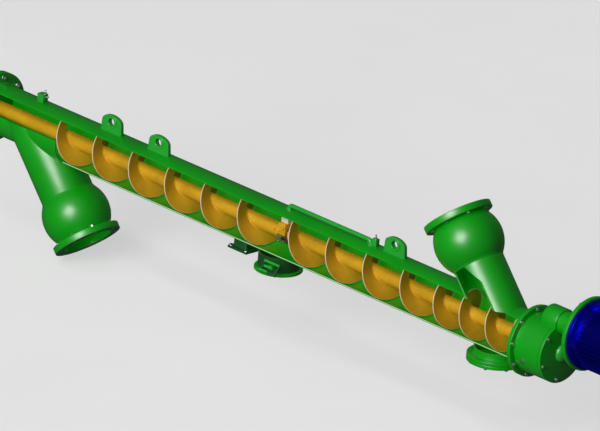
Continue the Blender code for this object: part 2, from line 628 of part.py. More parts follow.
def build_gearbox():
    """Gear drum on the tube's flange, its end cover and the offset input housing."""
    shaft_room = bore_radius(JOURNAL_RADIUS, RUNNING_GAP, SMALL_ROUND)
    drum = turned([(GEARBOX_SHAFT_ROOM, 0.0), (GEARBOX_SHAFT_ROOM, shaft_room), (GAP, shaft_room),
                   (GAP, GEARBOX_RADIUS),
                   (GEARBOX_LENGTH, GEARBOX_RADIUS), (GEARBOX_LENGTH, 0.0)], ROUND)
    add_object("gearbox_housing", drum, green_paint("gearbox_housing"), axis=AXIS_X)
    add_object("gearbox_end_cover", rod(GEARBOX_LENGTH + GAP, GEARBOX_COVER_END, GEARBOX_RADIUS),
               green_paint("gearbox_end_cover"), axis=AXIS_X)
    steps = 6
    dome = [(GEARBOX_COVER_END + GAP, 0.0)]
    for step in range(steps + 1):
        angle = math.pi / 2 * step / steps
        height = GEARBOX_COVER_END + GAP + GEARBOX_BOSS_HEIGHT * math.sin(angle)
        dome.append((height, GEARBOX_BOSS_RADIUS * math.cos(angle) if step < steps else 0.0))
    add_object("gearbox_boss", turned(dome, SMALL_ROUND), green_paint("gearbox_boss"), axis=AXIS_X)
    centre = (0.0, 0.0, MOTOR_AXIS_HEIGHT)
    lobe = add_object("gear_input_housing",
                      rod(INPUT_HOUSING_START, GEARBOX_COVER_END, INPUT_HOUSING_RADIUS),
                      green_paint("gear_input_housing"), centre, AXIS_X)
    combine(lobe, cutter("cut_around_gearbox",
                         rod(-CUT_REACH, CUT_REACH, bore_radius(GEARBOX_RADIUS, GAP, ROUND)), axis=AXIS_X))
    add_object("motor_adapter", rod(GEARBOX_COVER_END + GAP, MOTOR_FLANGE_START - GAP, ADAPTER_RADIUS),
               green_paint("motor_adapter"), centre, AXIS_X)


def finned_outline():
    """Outline of the motor body's section, with its fins as short blocks."""
    points = []
    for index in range(MOTOR_FIN_COUNT):
        centre = 2 * math.pi * (index + 0.5) / MOTOR_FIN_COUNT
        root = MOTOR_FIN_ROOT_SHARE * 2 * math.pi / MOTOR_FIN_COUNT
        tip = MOTOR_FIN_TIP_SHARE * 2 * math.pi / MOTOR_FIN_COUNT
        top = MOTOR_BODY_RADIUS + MOTOR_FIN_HEIGHT
        for angle, radius in ((centre - root, MOTOR_BODY_RADIUS), (centre - tip, top),
                              (centre + tip, top), (centre + root, MOTOR_BODY_RADIUS)):
            points.append((radius * math.cos(angle), radius * math.sin(angle)))
    return points


def build_motor():
    """Flange-mounted motor on the input housing's axis."""
    centre = (0.0, 0.0, MOTOR_AXIS_HEIGHT)
    flange_end = MOTOR_FLANGE_START + MOTOR_FLANGE_THICKNESS
    add_object("motor_flange", rod(MOTOR_FLANGE_START, flange_end, MOTOR_FLANGE_RADIUS),
               green_paint("motor_flange"), centre, AXIS_X)
    shield_start = flange_end + GAP
    rim_end = shield_start + MOTOR_SHIELD_RIM
    shield_end = shield_start + MOTOR_SHIELD_LENGTH
    profile = [(shield_start, 0.0), (shield_start, MOTOR_SHIELD_RADIUS), (rim_end, MOTOR_SHIELD_RADIUS),
               (rim_end, MOTOR_SHIELD_HUB_RADIUS), (shield_end, MOTOR_SHIELD_HUB_RADIUS), (shield_end, 0.0)]
    shield = add_object("motor_front_shield", turned(profile, ROUND), blue_paint("motor_front_shield"),
                        centre, AXIS_X)
    rib_length = shield_end - shield_start - MOTOR_SHIELD_RIM / 2
    rib_middle = shield_end - rib_length / 2
    span = 2 * (MOTOR_SHIELD_RADIUS - MOTOR_SHIELD_RIM / 4)
    for name, width, depth in (("across", span, MOTOR_SHIELD_RIB), ("upright", MOTOR_SHIELD_RIB, span)):
        rib = cutter("shield_rib_" + name, block(rib_length, width, depth), (rib_middle, 0.0, MOTOR_AXIS_HEIGHT))
        combine(shield, rib, "UNION")
    body_end = shield_end + GAP + MOTOR_BODY_LENGTH
    builder = bmesh.new()
    outline = finned_outline()
    near = [builder.verts.new((x, y, shield_end + GAP)) for x, y in outline]
    far = [builder.verts.new((x, y, body_end)) for x, y in outline]
    builder.faces.new(near)
    builder.faces.new(far)
    for index in range(len(outline)):
        after = (index + 1) % len(outline)
        builder.faces.new((near[index], near[after], far[after], far[index]))
    add_object("motor_body", builder, blue_paint("motor_body"), centre, AXIS_X)
    cowl_start = body_end + GAP
    cowl_end = cowl_start + MOTOR_COWL_LENGTH
    profile = [(cowl_start, 0.0), (cowl_start, MOTOR_COWL_RADIUS)]
    profile += [(cowl_end - inset, MOTOR_COWL_RADIUS - drop) for inset, drop in MOTOR_COWL_ROUNDING]
    profile.append((cowl_end, 0.0))
    add_object("motor_fan_cowl", turned(profile, ROUND), blue_paint("motor_fan_cowl"), centre, AXIS_X)
    top = MOTOR_AXIS_HEIGHT + MOTOR_BODY_RADIUS + MOTOR_FIN_HEIGHT + GAP
    add_object("motor_terminal_box", block(MOTOR_BOX_LENGTH, MOTOR_BOX_WIDTH, MOTOR_BOX_HEIGHT),
               blue_paint("motor_terminal_box"),
               (shield_end + MOTOR_BOX_OFFSET, 0.0, top + MOTOR_BOX_HEIGHT / 2))


clear_scene()
TUBE_FRAME = bpy.data.objects.new("tube_frame", None)
bpy.context.scene.collection.objects.link(TUBE_FRAME)
TUBE_FRAME.location = -MOUNT_POINT
build_tube()
build_end_flanges()
TAIL_START = build_discharge_end()
build_screw(TAIL_START)
build_hanger()
build_branches()
build_spout_end("inlet", INLET_BALL_CENTRE, -SPOUT_DOWN, INLET_BRANCH_RADIUS)
build_spout_end("outlet", OUTLET_BALL_CENTRE, SPOUT_DOWN, OUTLET_BRANCH_RADIUS)
build_lugs()
build_grease_line()
build_hatches()
build_mid_latch()
build_underside_bracket()
build_gearbox()
build_motor()
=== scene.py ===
"""Looks, light and camera for the cut-away tubular screw conveyor."""

import json
import math
import random

import bmesh
import bpy
from mathutils import Matrix, Vector


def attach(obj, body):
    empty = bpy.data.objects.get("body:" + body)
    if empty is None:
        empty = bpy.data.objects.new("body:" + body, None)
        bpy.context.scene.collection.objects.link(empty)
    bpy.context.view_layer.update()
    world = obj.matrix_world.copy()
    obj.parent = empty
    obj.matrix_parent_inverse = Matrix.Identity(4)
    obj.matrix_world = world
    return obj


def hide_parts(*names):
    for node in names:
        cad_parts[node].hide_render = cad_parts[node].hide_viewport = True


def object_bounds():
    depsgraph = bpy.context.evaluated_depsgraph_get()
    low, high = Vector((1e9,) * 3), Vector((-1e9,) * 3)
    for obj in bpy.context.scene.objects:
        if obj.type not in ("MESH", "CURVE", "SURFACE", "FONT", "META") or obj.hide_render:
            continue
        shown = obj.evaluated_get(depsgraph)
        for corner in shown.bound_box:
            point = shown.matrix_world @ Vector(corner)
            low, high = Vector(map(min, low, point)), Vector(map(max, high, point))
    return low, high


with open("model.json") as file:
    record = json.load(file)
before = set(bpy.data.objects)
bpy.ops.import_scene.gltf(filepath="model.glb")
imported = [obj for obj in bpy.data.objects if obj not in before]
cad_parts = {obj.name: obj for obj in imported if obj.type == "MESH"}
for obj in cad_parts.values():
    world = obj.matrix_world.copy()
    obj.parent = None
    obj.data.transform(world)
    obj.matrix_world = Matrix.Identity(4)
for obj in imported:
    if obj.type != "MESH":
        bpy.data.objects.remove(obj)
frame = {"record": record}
CAD_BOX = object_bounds()

# The tube's drive end, on the screw's axis: every size below is measured from it
TUBE = Vector(frame["record"]["behaviour"]["joints"][0]["pos_m"])

X = Vector((1.0, 0.0, 0.0))
Y = Vector((0.0, 1.0, 0.0))
Z = Vector((0.0, 0.0, 1.0))

# Sides of the round surfaces, small gaps and edges, in metres
ROUND = 144
MID_ROUND = 96
SMALL_ROUND = 64
GAP = 0.0003
RUNNING_GAP = 0.0005
REACH = 0.400
EDGE = 0.0018
SAWN_EDGE = 0.0004
STANDOFF = 0.0006

# Bolts, as shares of the thread's diameter
BOLT_WASHER_T = 0.18
BOLT_WASHER_R = 1.08
BOLT_HEAD_T = 0.68
BOLT_ACROSS_FLATS = 1.6

# Tube and end flanges
TUBE_R = 0.1365
TUBE_WALL = 0.006
TUBE_LENGTH = 4.070
SHELL_LIP = 0.006
WINDOW_Y = 0.070
WINDOW_MARGIN = 0.045
WINDOW_STEP_X = -3.460
WINDOW_STEP_Z = 0.020
FLANGE_R = 0.192
FLANGE_T = 0.025
END_PLATE_T = 0.020
END_PLATE_HOLE_R = 0.035
TAIL_HOUSING_R = 0.085
TAIL_HOUSING_LENGTH = 0.075
TAIL_CAP_R = 0.060
TAIL_CAP_T = 0.016
PLATE_OUTER = -TUBE_LENGTH - GAP
PLATE_INNER = PLATE_OUTER - END_PLATE_T
TAIL_INNER = PLATE_INNER - GAP
TAIL_OUTER = TAIL_INNER - TAIL_HOUSING_LENGTH
DRIVE_BOLT_START = math.radians(3.0)
END_BOLT_START = math.radians(-8.5)

# Screw: each flight has its front edge, its pitch, and its first and last turn
SHAFT_R = 0.038
JOURNAL_R = 0.030
FLIGHT_R = 0.125
FLIGHT_T = 0.006
SHAFT_LEFT = -4.040
SHAFT_RIGHT = -0.020
DRIVE_JOURNAL_END = 0.050
DISCHARGE_FLIGHT = (-3.457, 0.2754, -0.35, 5.60)
MIDDLE_FLIGHT = (-1.695, 0.2750, -0.27, 3.5625)
FEED_FLIGHT = (-0.628, 0.1900, -0.4350, 2.990)
COUPLING_BOLT_INSET = 0.030
COUPLING_BOLT_TURNS = (math.radians(-68.0), math.radians(112.0))

# Hanger bearing
HANGER_X = -1.832
HANGER_WIDTH = 0.052
HANGER_R = 0.054
HANGER_SHAFT_GAP = 0.006
HANGER_BLOCK_TOP = 0.063
HANGER_BLOCK_DEPTH = 0.096
POST_WIDTH = 0.050
POST_DEPTH = 0.060

# Spouts
LEAN = math.radians(41.0)
DOWN = Vector((math.sin(LEAN), 0.0, -math.cos(LEAN)))
SIDE = Vector((math.cos(LEAN), 0.0, math.sin(LEAN)))
INLET_FOOT = Vector((-0.206, 0.0, 0.0))
OUTLET_FOOT = Vector((-3.748, 0.0, 0.0))
INLET_BRANCH_R = 0.1365
OUTLET_BRANCH_R = 0.146
BRANCH_WALL = 0.006
INLET_REACH = 0.500
OUTLET_REACH = 0.537
BRANCH_INSERTION = 0.105
BALL_R = 0.185
BALL_WALL = 0.007
BALL_TO_FACE = 0.155
SPOUT_FLANGE_R = 0.186
SPOUT_FLANGE_T = 0.036
SPOUT_BORE_R = 0.134
SPOUT_EDGE = 0.0025
SPOUT_BOLT_CIRCLE = 0.161
SPOUT_BOLTS = 8
SPOUT_BOLT_HOLE_R = 0.009
SPOUT_WELD = 0.005
INLET_BALL = INLET_FOOT - DOWN * INLET_REACH
OUTLET_BALL = OUTLET_FOOT + DOWN * OUTLET_REACH
INLET_CUT_Y = 0.110
INLET_FOOT_CUT = 0.120
INLET_CUT = ((-0.700, 0.4165), (-0.442, 0.304), (-0.332, 0.256), (0.200, 0.024), (0.200, -0.050),
             (-0.700, -0.050))

# Fittings on the tube; a grease block has its place, length, width and top
LUG_X = (-3.178, -2.818, -1.047)
LUG_FOOT = 0.082
LUG_BASE = 0.110
LUG_HEAD_R = 0.072
LUG_TOP = 0.230
LUG_T = 0.020
LUG_EYE_Z = 0.192
LUG_EYE_R = 0.036
LUG_EYE_BORE_R = 0.021
LUG_EYE_HALF = 0.014
LUG_EYE_CHAMFER = 0.0015
LUG_HOLE_R = 0.0285
LUG_WELD = 0.074
GREASE_BLOCKS = ((-3.717, 0.046, 0.036, 0.182), (-1.194, 0.032, 0.026, 0.176))
GREASE_BLOCK_BASE = 0.120
GREASE_PIPE_R = 0.0115
GREASE_PIPE_Z = 0.157
GREASE_PIPE_END = -1.228
GREASE_PIPE_BEND = 0.018
MID_HATCH_X = -1.877
MID_COLLAR_R = 0.112
MID_COVER_R = 0.130
MID_COVER_TOP = -0.200
MID_COVER_T = 0.016
LATCH = Vector((-1.814, -0.131, -0.163))
LATCH_TILT = math.radians(42.0)
LATCH_LENGTH = 0.122
LATCH_WIDTH = 0.070
LATCH_T = 0.012
# Pale strips on the clamp's bars, as painted highlight: side, start and length of each
LATCH_HIGHLIGHT_T = 0.002
LATCH_HIGHLIGHT_STRIPS = ((1, 0.006, 0.110), (0, 0.024, 0.060), (-1, 0.002, 0.064))
LATCH_BAR = 0.015
LATCH_SLOT = 0.092
LATCH_ARM = 0.030
FEED_HATCH_X = -0.270
FEED_COLLAR_R = 0.122
FEED_COVER_R = 0.155
FEED_RIM_TOP = -0.156
FEED_RIM_T = 0.018
FEED_COVER_T = 0.019
HATCH_TOP = -0.050
HATCH_FRONT_TOP = -0.119
BRACKET_X = -2.115
BRACKET_LENGTH = 0.140
BRACKET_WIDTH = 0.156
BRACKET_Z = -0.176
BRACKET_T = 0.012
BRACKET_WEB = (0.096, 0.110)
BRACKET_WEB_TOP = -0.090
BRACKET_BOLTS = (0.056, 0.066)

# Drive
COVER_BOLT_START = math.radians(170.0)
GEARBOX_R = 0.164
GEARBOX_LENGTH = 0.168
GEARBOX_END = 0.190
GEARBOX_SEAT_DEPTH = 0.056
DOME_R = 0.050
DOME_HEIGHT = 0.030
MOTOR_Z = 0.165
INPUT_R = 0.072
INPUT_START = 0.084
ADAPTER_R = 0.062
MOTOR_FLANGE_START = 0.356
MOTOR_FLANGE_R = 0.198
MOTOR_FLANGE_T = 0.025
SHIELD_START = MOTOR_FLANGE_START + MOTOR_FLANGE_T + GAP
SHIELD_R = 0.187
SHIELD_RIM = 0.020
SHIELD_LENGTH = 0.064
SHIELD_HUB_R = 0.150
SHIELD_RIB = 0.044
BODY_START = SHIELD_START + SHIELD_LENGTH + GAP
BODY_LENGTH = 0.330
BODY_R = 0.154
FINS = 40
FIN_HEIGHT = 0.022
COWL_START = BODY_START + BODY_LENGTH + GAP
COWL_LENGTH = 0.130
COWL_R = 0.182
COWL_WALL = 0.003
COWL_EDGE = 0.025
COWL_SLOT_RINGS = ((0.045, 8), (0.075, 14), (0.105, 20), (0.132, 26))
FAN_BLADES = 9
BOX_SIZE = (0.170, 0.150, 0.075)
BOX_X = SHIELD_START + SHIELD_LENGTH + 0.130
BOX_BASE = MOTOR_Z + BODY_R + FIN_HEIGHT + GAP
LID_T = 0.006

# Half sections of the small fittings: height, then radius
NIPPLE = ((0.0, 0.0), (0.0, 0.0085), (0.006, 0.0085), (0.007, 0.0055), (0.013, 0.0048), (0.015, 0.0030),
          (0.017, 0.0042), (0.020, 0.0046), (0.023, 0.0030), (0.024, 0.0))
PIPE_NUT = ((0.0, 0.0), (0.0, 0.019), (0.008, 0.019), (0.009, 0.0175), (0.009, 0.0))
OIL_PLUG = ((0.0, 0.0), (0.0, 0.013), (0.004, 0.013), (0.004, 0.010), (0.010, 0.010), (0.012, 0.008),
            (0.012, 0.0))
GLAND = ((0.0, 0.0), (0.0, 0.020), (0.008, 0.020), (0.008, 0.017), (0.020, 0.017), (0.022, 0.014),
         (0.022, 0.0))
BEARING_PLUG = ((0.0, 0.0), (0.0, 0.011), (0.006, 0.010), (0.006, 0.005), (0.003, 0.005), (0.003, 0.0))

# Colours and paints
GREEN = (0.000, 0.300, 0.003)
# Lighter copy of the green paint: painted highlight on the lugs, the grease line, the gear cover's dome and
# the latch's strips
LIT_GREEN = (0.012, 0.330, 0.024)
# Darker copy of the green paint: painted shade on the middle hatch's neck, the latch's clamp plate and the
# bracket under the tube
SHADED_GREEN = (0.001, 0.060, 0.008)
# Pale colour on the inner part of the window's lower sawn edge: painted highlight
TUBE_EDGE_HIGHLIGHT = (0.46, 0.66, 0.38)
# Slightly paler green on the branch's cut edge above the tube: painted highlight
BRANCH_EDGE_HIGHLIGHT = (0.06, 0.32, 0.05)
GOLD = (0.580, 0.320, 0.012)
# Pale band at the flights' rims: painted highlight
RIM_HIGHLIGHT = (0.72, 0.58, 0.36)
BLUE = (0.004, 0.004, 0.420)
# Brighter copy of the motor blue for the drive-end shield: painted highlight
SHIELD_HIGHLIGHT_BLUE = (0.006, 0.006, 0.700)
MOTOR_PAINT = {"rough": (0.30, 0.40), "specular": 0.40, "dust": 0.01, "metallic": 0.90, "coat": 0.0}
SAWN_BAND = 0.0006
# How far in from the tube's outside the lower edge's painted highlight starts
EDGE_HIGHLIGHT_INSET = 0.0026


# Materials


def new_material(name):
    material = bpy.data.materials.new(name)
    material.use_nodes = True
    return material, material.node_tree, material.node_tree.nodes["Principled BSDF"]


def put(node, numbers):
    for socket, number in numbers.items():
        node.inputs[socket].default_value = number


def position(tree):
    found = tree.nodes.get("Position")
    if found is None:
        found = tree.nodes.new("ShaderNodeTexCoord")
        found.name = "Position"
    return found.outputs["Object"]


def noise(tree, scale, detail=3.0, roughness=0.5):
    """Noise in object coordinates, which are metres."""
    node = tree.nodes.new("ShaderNodeTexNoise")
    put(node, {"Scale": scale, "Detail": detail, "Roughness": roughness})
    tree.links.new(position(tree), node.inputs["Vector"])
    return node.outputs["Fac"]


def ramp(tree, value, stops):
    node = tree.nodes.new("ShaderNodeValToRGB")
    elements = node.color_ramp.elements
    for element, (place, colour) in zip(elements, (stops[0], stops[-1])):
        element.position = place
        element.color = (*colour, 1.0)
    for place, colour in stops[1:-1]:
        elements.new(place).color = (*colour, 1.0)
    tree.links.new(value, node.inputs["Fac"])
    return node.outputs["Color"]


def scaled(colour, factor):
    return tuple(channel * factor for channel in colour)


def toned(tree, value, colour, places, dark, light):
    """The colour, darker where the value is low and lighter where it is high."""
    shades = (scaled(colour, dark), colour, scaled(colour, light))
    return ramp(tree, value, list(zip(places, shades)))


def spread(tree, value, low, high, from_low=0.3, from_high=0.7):
    node = tree.nodes.new("ShaderNodeMapRange")
    put(node, {"From Min": from_low, "From Max": from_high, "To Min": low, "To Max": high})
    tree.links.new(value, node.inputs["Value"])
    return node.outputs["Result"]


def calculate(tree, operation, *values):
    node = tree.nodes.new("ShaderNodeMath")
    node.operation = operation
    for socket, value in zip(node.inputs, values):
        if isinstance(value, (int, float)):
            socket.default_value = value
        else:
            tree.links.new(value, socket)
    return node.outputs["Value"]


def mix(tree, factor, first, second):
    node = tree.nodes.new("ShaderNodeMix")
    node.data_type = "RGBA"
    tree.links.new(factor, node.inputs[0])
    for socket, value in ((node.inputs[6], first), (node.inputs[7], second)):
        if isinstance(value, tuple):
            socket.default_value = (*value, 1.0)
        else:
            tree.links.new(value, socket)
    return node.outputs[2]


def bump(tree, shader, height, strength, distance, before=None):
    node = tree.nodes.new("ShaderNodeBump")
    put(node, {"Strength": strength, "Distance": distance})
    tree.links.new(height, node.inputs["Height"])
    if before is not None:
        tree.links.new(before, node.inputs["Normal"])
    tree.links.new(node.outputs["Normal"], shader.inputs["Normal"])
    return node.outputs["Normal"]


def tube_axes(tree):
    """Distances from the screw's axis: across, up and radial."""
    parts = tree.nodes.new("ShaderNodeSeparateXYZ")
    tree.links.new(position(tree), parts.inputs["Vector"])
    across = calculate(tree, "SUBTRACT", parts.outputs["Y"], TUBE.y)
    up = calculate(tree, "SUBTRACT", parts.outputs["Z"], TUBE.z)
    squares = calculate(tree, "ADD", calculate(tree, "MULTIPLY", across, across),
                        calculate(tree, "MULTIPLY", up, up))
    return across, up, calculate(tree, "SQRT", squares)


def gloss_paint(name, colour, rough=(0.33, 0.41), specular=0.95, dust=0.04, metallic=0.0, coat=0.6):
    """Sprayed gloss paint: slow colour drift, orange peel, thin dust and small rubbed spots."""
    material, tree, shader = new_material(name)
    base = toned(tree, noise(tree, 2.6, 4.0, 0.55), colour, (0.30, 0.50, 0.72), 0.88, 1.08)
    dusty = spread(tree, noise(tree, 9.0, 6.0, 0.68), 0.0, dust, 0.50, 0.80)
    base = mix(tree, dusty, base, tuple(0.8 * channel + 0.06 for channel in colour))
    rubbed = spread(tree, noise(tree, 150.0, 5.0, 0.65), 0.0, 0.22, 0.66, 0.80)
    base = mix(tree, rubbed, base, scaled(colour, 0.55))
    tree.links.new(base, shader.inputs["Base Color"])
    tree.links.new(spread(tree, noise(tree, 14.0, 4.0, 0.6), *rough), shader.inputs["Roughness"])
    put(shader, {"Specular IOR Level": specular, "Metallic": metallic, "Coat Weight": coat,
                 "Coat Roughness": 0.34})
    first = bump(tree, shader, noise(tree, 22.0, 2.0, 0.5), 0.06, 0.0010)
    bump(tree, shader, noise(tree, 420.0, 2.0, 0.5), 0.05, 0.0003, first)
    return material


def edge_highlight_paint(name, colour, highlight_colour, cut_y, highlight_where):
    """Gloss paint, with a painted highlight as a pale band on the sawn edge at a cut, where the given mask
    says so.
    """
    material = gloss_paint(name, colour)
    tree = material.node_tree
    shader = tree.nodes["Principled BSDF"]
    across, up, radial = tube_axes(tree)
    from_cut = calculate(tree, "ABSOLUTE", calculate(tree, "ADD", across, cut_y))
    sawn = calculate(tree, "LESS_THAN", from_cut, SAWN_BAND)
    # Painted highlight where the mask and the sawn band meet
    painted_highlight = calculate(tree, "MULTIPLY", sawn, highlight_where(tree, up, radial))
    base = shader.inputs["Base Color"].links[0].from_socket
    tree.links.new(mix(tree, painted_highlight, base, highlight_colour), shader.inputs["Base Color"])
    return material


def low_and_inside(tree, up, radial):
    """Where the tube's edge highlight is painted: the inner part of the window's lower edge."""
    low = calculate(tree, "LESS_THAN", up, -WINDOW_Y)
    return calculate(tree, "MULTIPLY", low, calculate(tree, "LESS_THAN", radial, TUBE_R - EDGE_HIGHLIGHT_INSET))


# Where the branch's edge highlight is painted: its cut edge above the tube
def above_tube(tree, up, _):
    return calculate(tree, "GREATER_THAN", up, INLET_FOOT_CUT)


def screw_paint(name, colour, rim_highlight_colour):
    """Gold paint on the flights, with a pale band at the rim as painted highlight."""
    material, tree, shader = new_material(name)
    radius = tube_axes(tree)[2]
    ragged = calculate(tree, "ADD", radius, spread(tree, noise(tree, 70.0, 4.0, 0.6), -0.0012, 0.0012))
    # Pale band at the rim: painted highlight
    rim = spread(tree, ragged, 0.0, 1.0, FLIGHT_R - 0.0030, FLIGHT_R - 0.0012)
    base = toned(tree, noise(tree, 8.0, 5.0, 0.6), colour, (0.30, 0.52, 0.74), 0.82, 1.14)
    scuffs = spread(tree, noise(tree, 130.0, 6.0, 0.7), 0.0, 0.35, 0.62, 0.80)
    base = mix(tree, scuffs, base, scaled(colour, 0.55))
    tree.links.new(mix(tree, rim, base, rim_highlight_colour), shader.inputs["Base Color"])
    tree.links.new(spread(tree, noise(tree, 25.0, 4.0, 0.6), 0.28, 0.42), shader.inputs["Roughness"])
    put(shader, {"Metallic": 0.15})
    bump(tree, shader, noise(tree, 350.0, 3.0, 0.6), 0.08, 0.0004)
    return material


def metal(name, colour, rough, grain=900.0):
    """Bare or plated steel with fine machining noise and faint stains."""
    material, tree, shader = new_material(name)
    base = toned(tree, noise(tree, 30.0, 4.0, 0.6), colour, (0.30, 0.55, 0.75), 0.80, 1.06)
    tree.links.new(base, shader.inputs["Base Color"])
    put(shader, {"Metallic": 1.0})
    tree.links.new(spread(tree, noise(tree, 120.0, 3.0, 0.6), *rough), shader.inputs["Roughness"])
    bump(tree, shader, noise(tree, grain, 2.0, 0.6), 0.10, 0.0002)
    return material


def cast_iron(name, colour, metallic=0.3):
    """Cast iron with a slightly grainy skin."""
    material, tree, shader = new_material(name)
    base = toned(tree, noise(tree, 16.0, 5.0, 0.65), colour, (0.28, 0.52, 0.76), 0.72, 1.14)
    tree.links.new(base, shader.inputs["Base Color"])
    put(shader, {"Metallic": metallic})
    tree.links.new(spread(tree, noise(tree, 60.0, 4.0, 0.6), 0.36, 0.58), shader.inputs["Roughness"])
    first = bump(tree, shader, noise(tree, 420.0, 4.0, 0.7), 0.35, 0.0006)
    bump(tree, shader, noise(tree, 60.0, 3.0, 0.6), 0.15, 0.0010, first)
    return material


green = gloss_paint("green_gloss", GREEN)
# Lit copy of the green: painted highlight
lit_green = gloss_paint("lit_green_gloss", LIT_GREEN)
# Shaded copy of the green: painted shade
shaded_green = gloss_paint("shaded_green_gloss", SHADED_GREEN)
# The window's lower edge and the branch's cut edge get a pale band: painted highlight
tube_green = edge_highlight_paint("tube_green_gloss", GREEN, TUBE_EDGE_HIGHLIGHT, WINDOW_Y, low_and_inside)
branch_green = edge_highlight_paint("branch_green_gloss", GREEN, BRANCH_EDGE_HIGHLIGHT, INLET_CUT_Y, above_tube)
gold = screw_paint("screw_gold", GOLD, RIM_HIGHLIGHT)
blue = gloss_paint("motor_blue", BLUE, **MOTOR_PAINT)
# Lit copy of the motor blue: painted highlight
shield_highlight_blue = gloss_paint("shield_highlight_blue", SHIELD_HIGHLIGHT_BLUE, **MOTOR_PAINT)
zinc = metal("zinc_plate", (0.74, 0.76, 0.76), (0.26, 0.42))
steel = metal("ground_steel", (0.70, 0.70, 0.70), (0.14, 0.26), 1500.0)
bearing_iron = cast_iron("bearing_iron", (0.15, 0.17, 0.08))
post_iron = cast_iron("post_iron", (0.74, 0.70, 0.58))
rubber = cast_iron("black_rubber", (0.020, 0.020, 0.022), 0.0)


# Solids: each builder is a mesh about its own Z axis, set in place by a matrix


def facing(origin, axis=Z, up=None):
    """Matrix that puts local Z along the axis at a point measured from the tube's drive end."""
    axis = Vector(axis).normalized()
    if up is None:
        up = Z if abs(axis.z) < 0.9 else X
    side = Vector(up).cross(axis).normalized()
    matrix = Matrix((side, axis.cross(side), axis)).transposed().to_4x4()
    matrix.translation = TUBE + Vector(origin)
    return matrix


def at_point(x, y, z):
    """Matrix that moves a builder to a point measured from the tube's drive end."""
    return Matrix.Translation(TUBE + Vector((x, y, z)))


TUBE_AXIS = facing((0, 0, 0), X)


def turned(profile, segments=ROUND):
    """Solid of revolution of (height, radius) points; a zero radius closes it on the axis."""
    builder = bmesh.new()
    turn = 2 * math.pi / segments
    rings = []
    for height, radius in profile:
        if radius <= 0.0:
            rings.append([builder.verts.new((0.0, 0.0, height))])
            continue
        spots = [(radius * math.cos(turn * step), radius * math.sin(turn * step), height)
                 for step in range(segments)]
        rings.append([builder.verts.new(spot) for spot in spots])
    pairs = list(zip(rings, rings[1:]))
    if len(rings[0]) > 1 and len(rings[-1]) > 1:
        pairs.append((rings[-1], rings[0]))
    for first, second in pairs:
        if len(first) == len(second) == 1:
            continue
        for step in range(segments):
            after = (step + 1) % segments
            corners = []
            for corner in (first[step % len(first)], first[after % len(first)],
                           second[after % len(second)], second[step % len(second)]):
                if corner not in corners:
                    corners.append(corner)
            builder.faces.new(corners)
    bmesh.ops.recalc_face_normals(builder, faces=builder.faces)
    return builder


def round_corner(height, radius, along, outward, edge, steps=3):
    """Points that round a corner; along and outward say on which sides of it the solid is."""
    if edge == 0.0:
        return [(height, radius)]
    points = []
    for step in range(steps + 1):
        angle = math.pi / 2 * step / steps
        points.append((height + along * edge * (1 - math.sin(angle)),
                       radius + outward * edge * (1 - math.cos(angle))))
    return points


def outer_side(start, end, radius, edge):
    """Outer line of a rod or ring, with both its corners rounded."""
    return round_corner(start, radius, 1, -1, edge)[::-1] + round_corner(end, radius, -1, -1, edge)


def rod(start, end, radius, segments=ROUND, edge=EDGE):
    return turned([(start, 0.0)] + outer_side(start, end, radius, edge) + [(end, 0.0)], segments)


def ring(start, end, outer, inner, segments=ROUND, edge=EDGE):
    return turned([(start, inner)] + outer_side(start, end, outer, edge) + [(end, inner)], segments)


def block(size_x, size_y, size_z):
    builder = bmesh.new()
    bmesh.ops.create_cube(builder, size=1.0)
    bmesh.ops.scale(builder, vec=(size_x, size_y, size_z), verts=builder.verts)
    return builder


def join_rings(builder, first, second):
    """Faces between two closed rings of vertices."""
    for index in range(len(first)):
        after = (index + 1) % len(first)
        builder.faces.new((first[index], first[after], second[after], second[index]))


def prism(near, far):
    """Solid between two like outlines."""
    builder = bmesh.new()
    rings = [[builder.verts.new(spot) for spot in outline] for outline in (near, far)]
    for corners in rings:
        builder.faces.new(corners)
    join_rings(builder, *rings)
    bmesh.ops.recalc_face_normals(builder, faces=builder.faces)
    return builder


def plate(outline, thickness):
    """Plate in the XZ plane, with its thickness along Y."""
    near, far = [[(x, side * thickness / 2, z) for x, z in outline] for side in (-1, 1)]
    return prism(near, far)


def raw_object(name, builder, matrix):
    mesh = bpy.data.meshes.new(name)
    builder.transform(matrix)
    builder.normal_update()
    bmesh.ops.recalc_face_normals(builder, faces=builder.faces)
    if builder.calc_volume(signed=True) < 0.0:
        bmesh.ops.reverse_faces(builder, faces=builder.faces)
    builder.to_mesh(mesh)
    builder.free()
    thing = bpy.data.objects.new(name, mesh)
    bpy.context.scene.collection.objects.link(thing)
    return thing


def cut(builder, matrix=TUBE_AXIS):
    return "DIFFERENCE", builder, matrix


def cut_to_tube(x):
    """Cut that seats a piece near x on the tube's outside."""
    return cut(rod(-REACH, REACH, TUBE_R + GAP, ROUND, 0.0), facing((x, 0, 0), X))


def solid(name, builder, material, matrix, changes=(), nodes=(), body="housing", bevel=0.0, smooth=35.0):
    """Set a solid in place, cut or join it with tools, round its edges, and let it ride on its body."""
    piece = raw_object(name, builder, matrix)
    tools = []
    for operation, tool_builder, tool_matrix in changes:
        tool = raw_object("tool", tool_builder, tool_matrix)
        tools.append(tool)
        change = piece.modifiers.new("change", "BOOLEAN")
        change.object = tool
        change.operation = operation
        change.solver = "EXACT"
    if bevel > 0.0:
        rounding = piece.modifiers.new("rounding", "BEVEL")
        rounding.width = bevel
        rounding.segments = 2
        rounding.limit_method = "ANGLE"
        rounding.angle_limit = math.radians(40.0)
        rounding.harden_normals = False
    if piece.modifiers:
        seen = piece.evaluated_get(bpy.context.evaluated_depsgraph_get())
        mesh = bpy.data.meshes.new_from_object(seen)
        piece.modifiers.clear()
        piece.data = mesh
        for tool in tools:
            bpy.data.objects.remove(tool)
    return dress(piece, material, body, nodes, smooth)


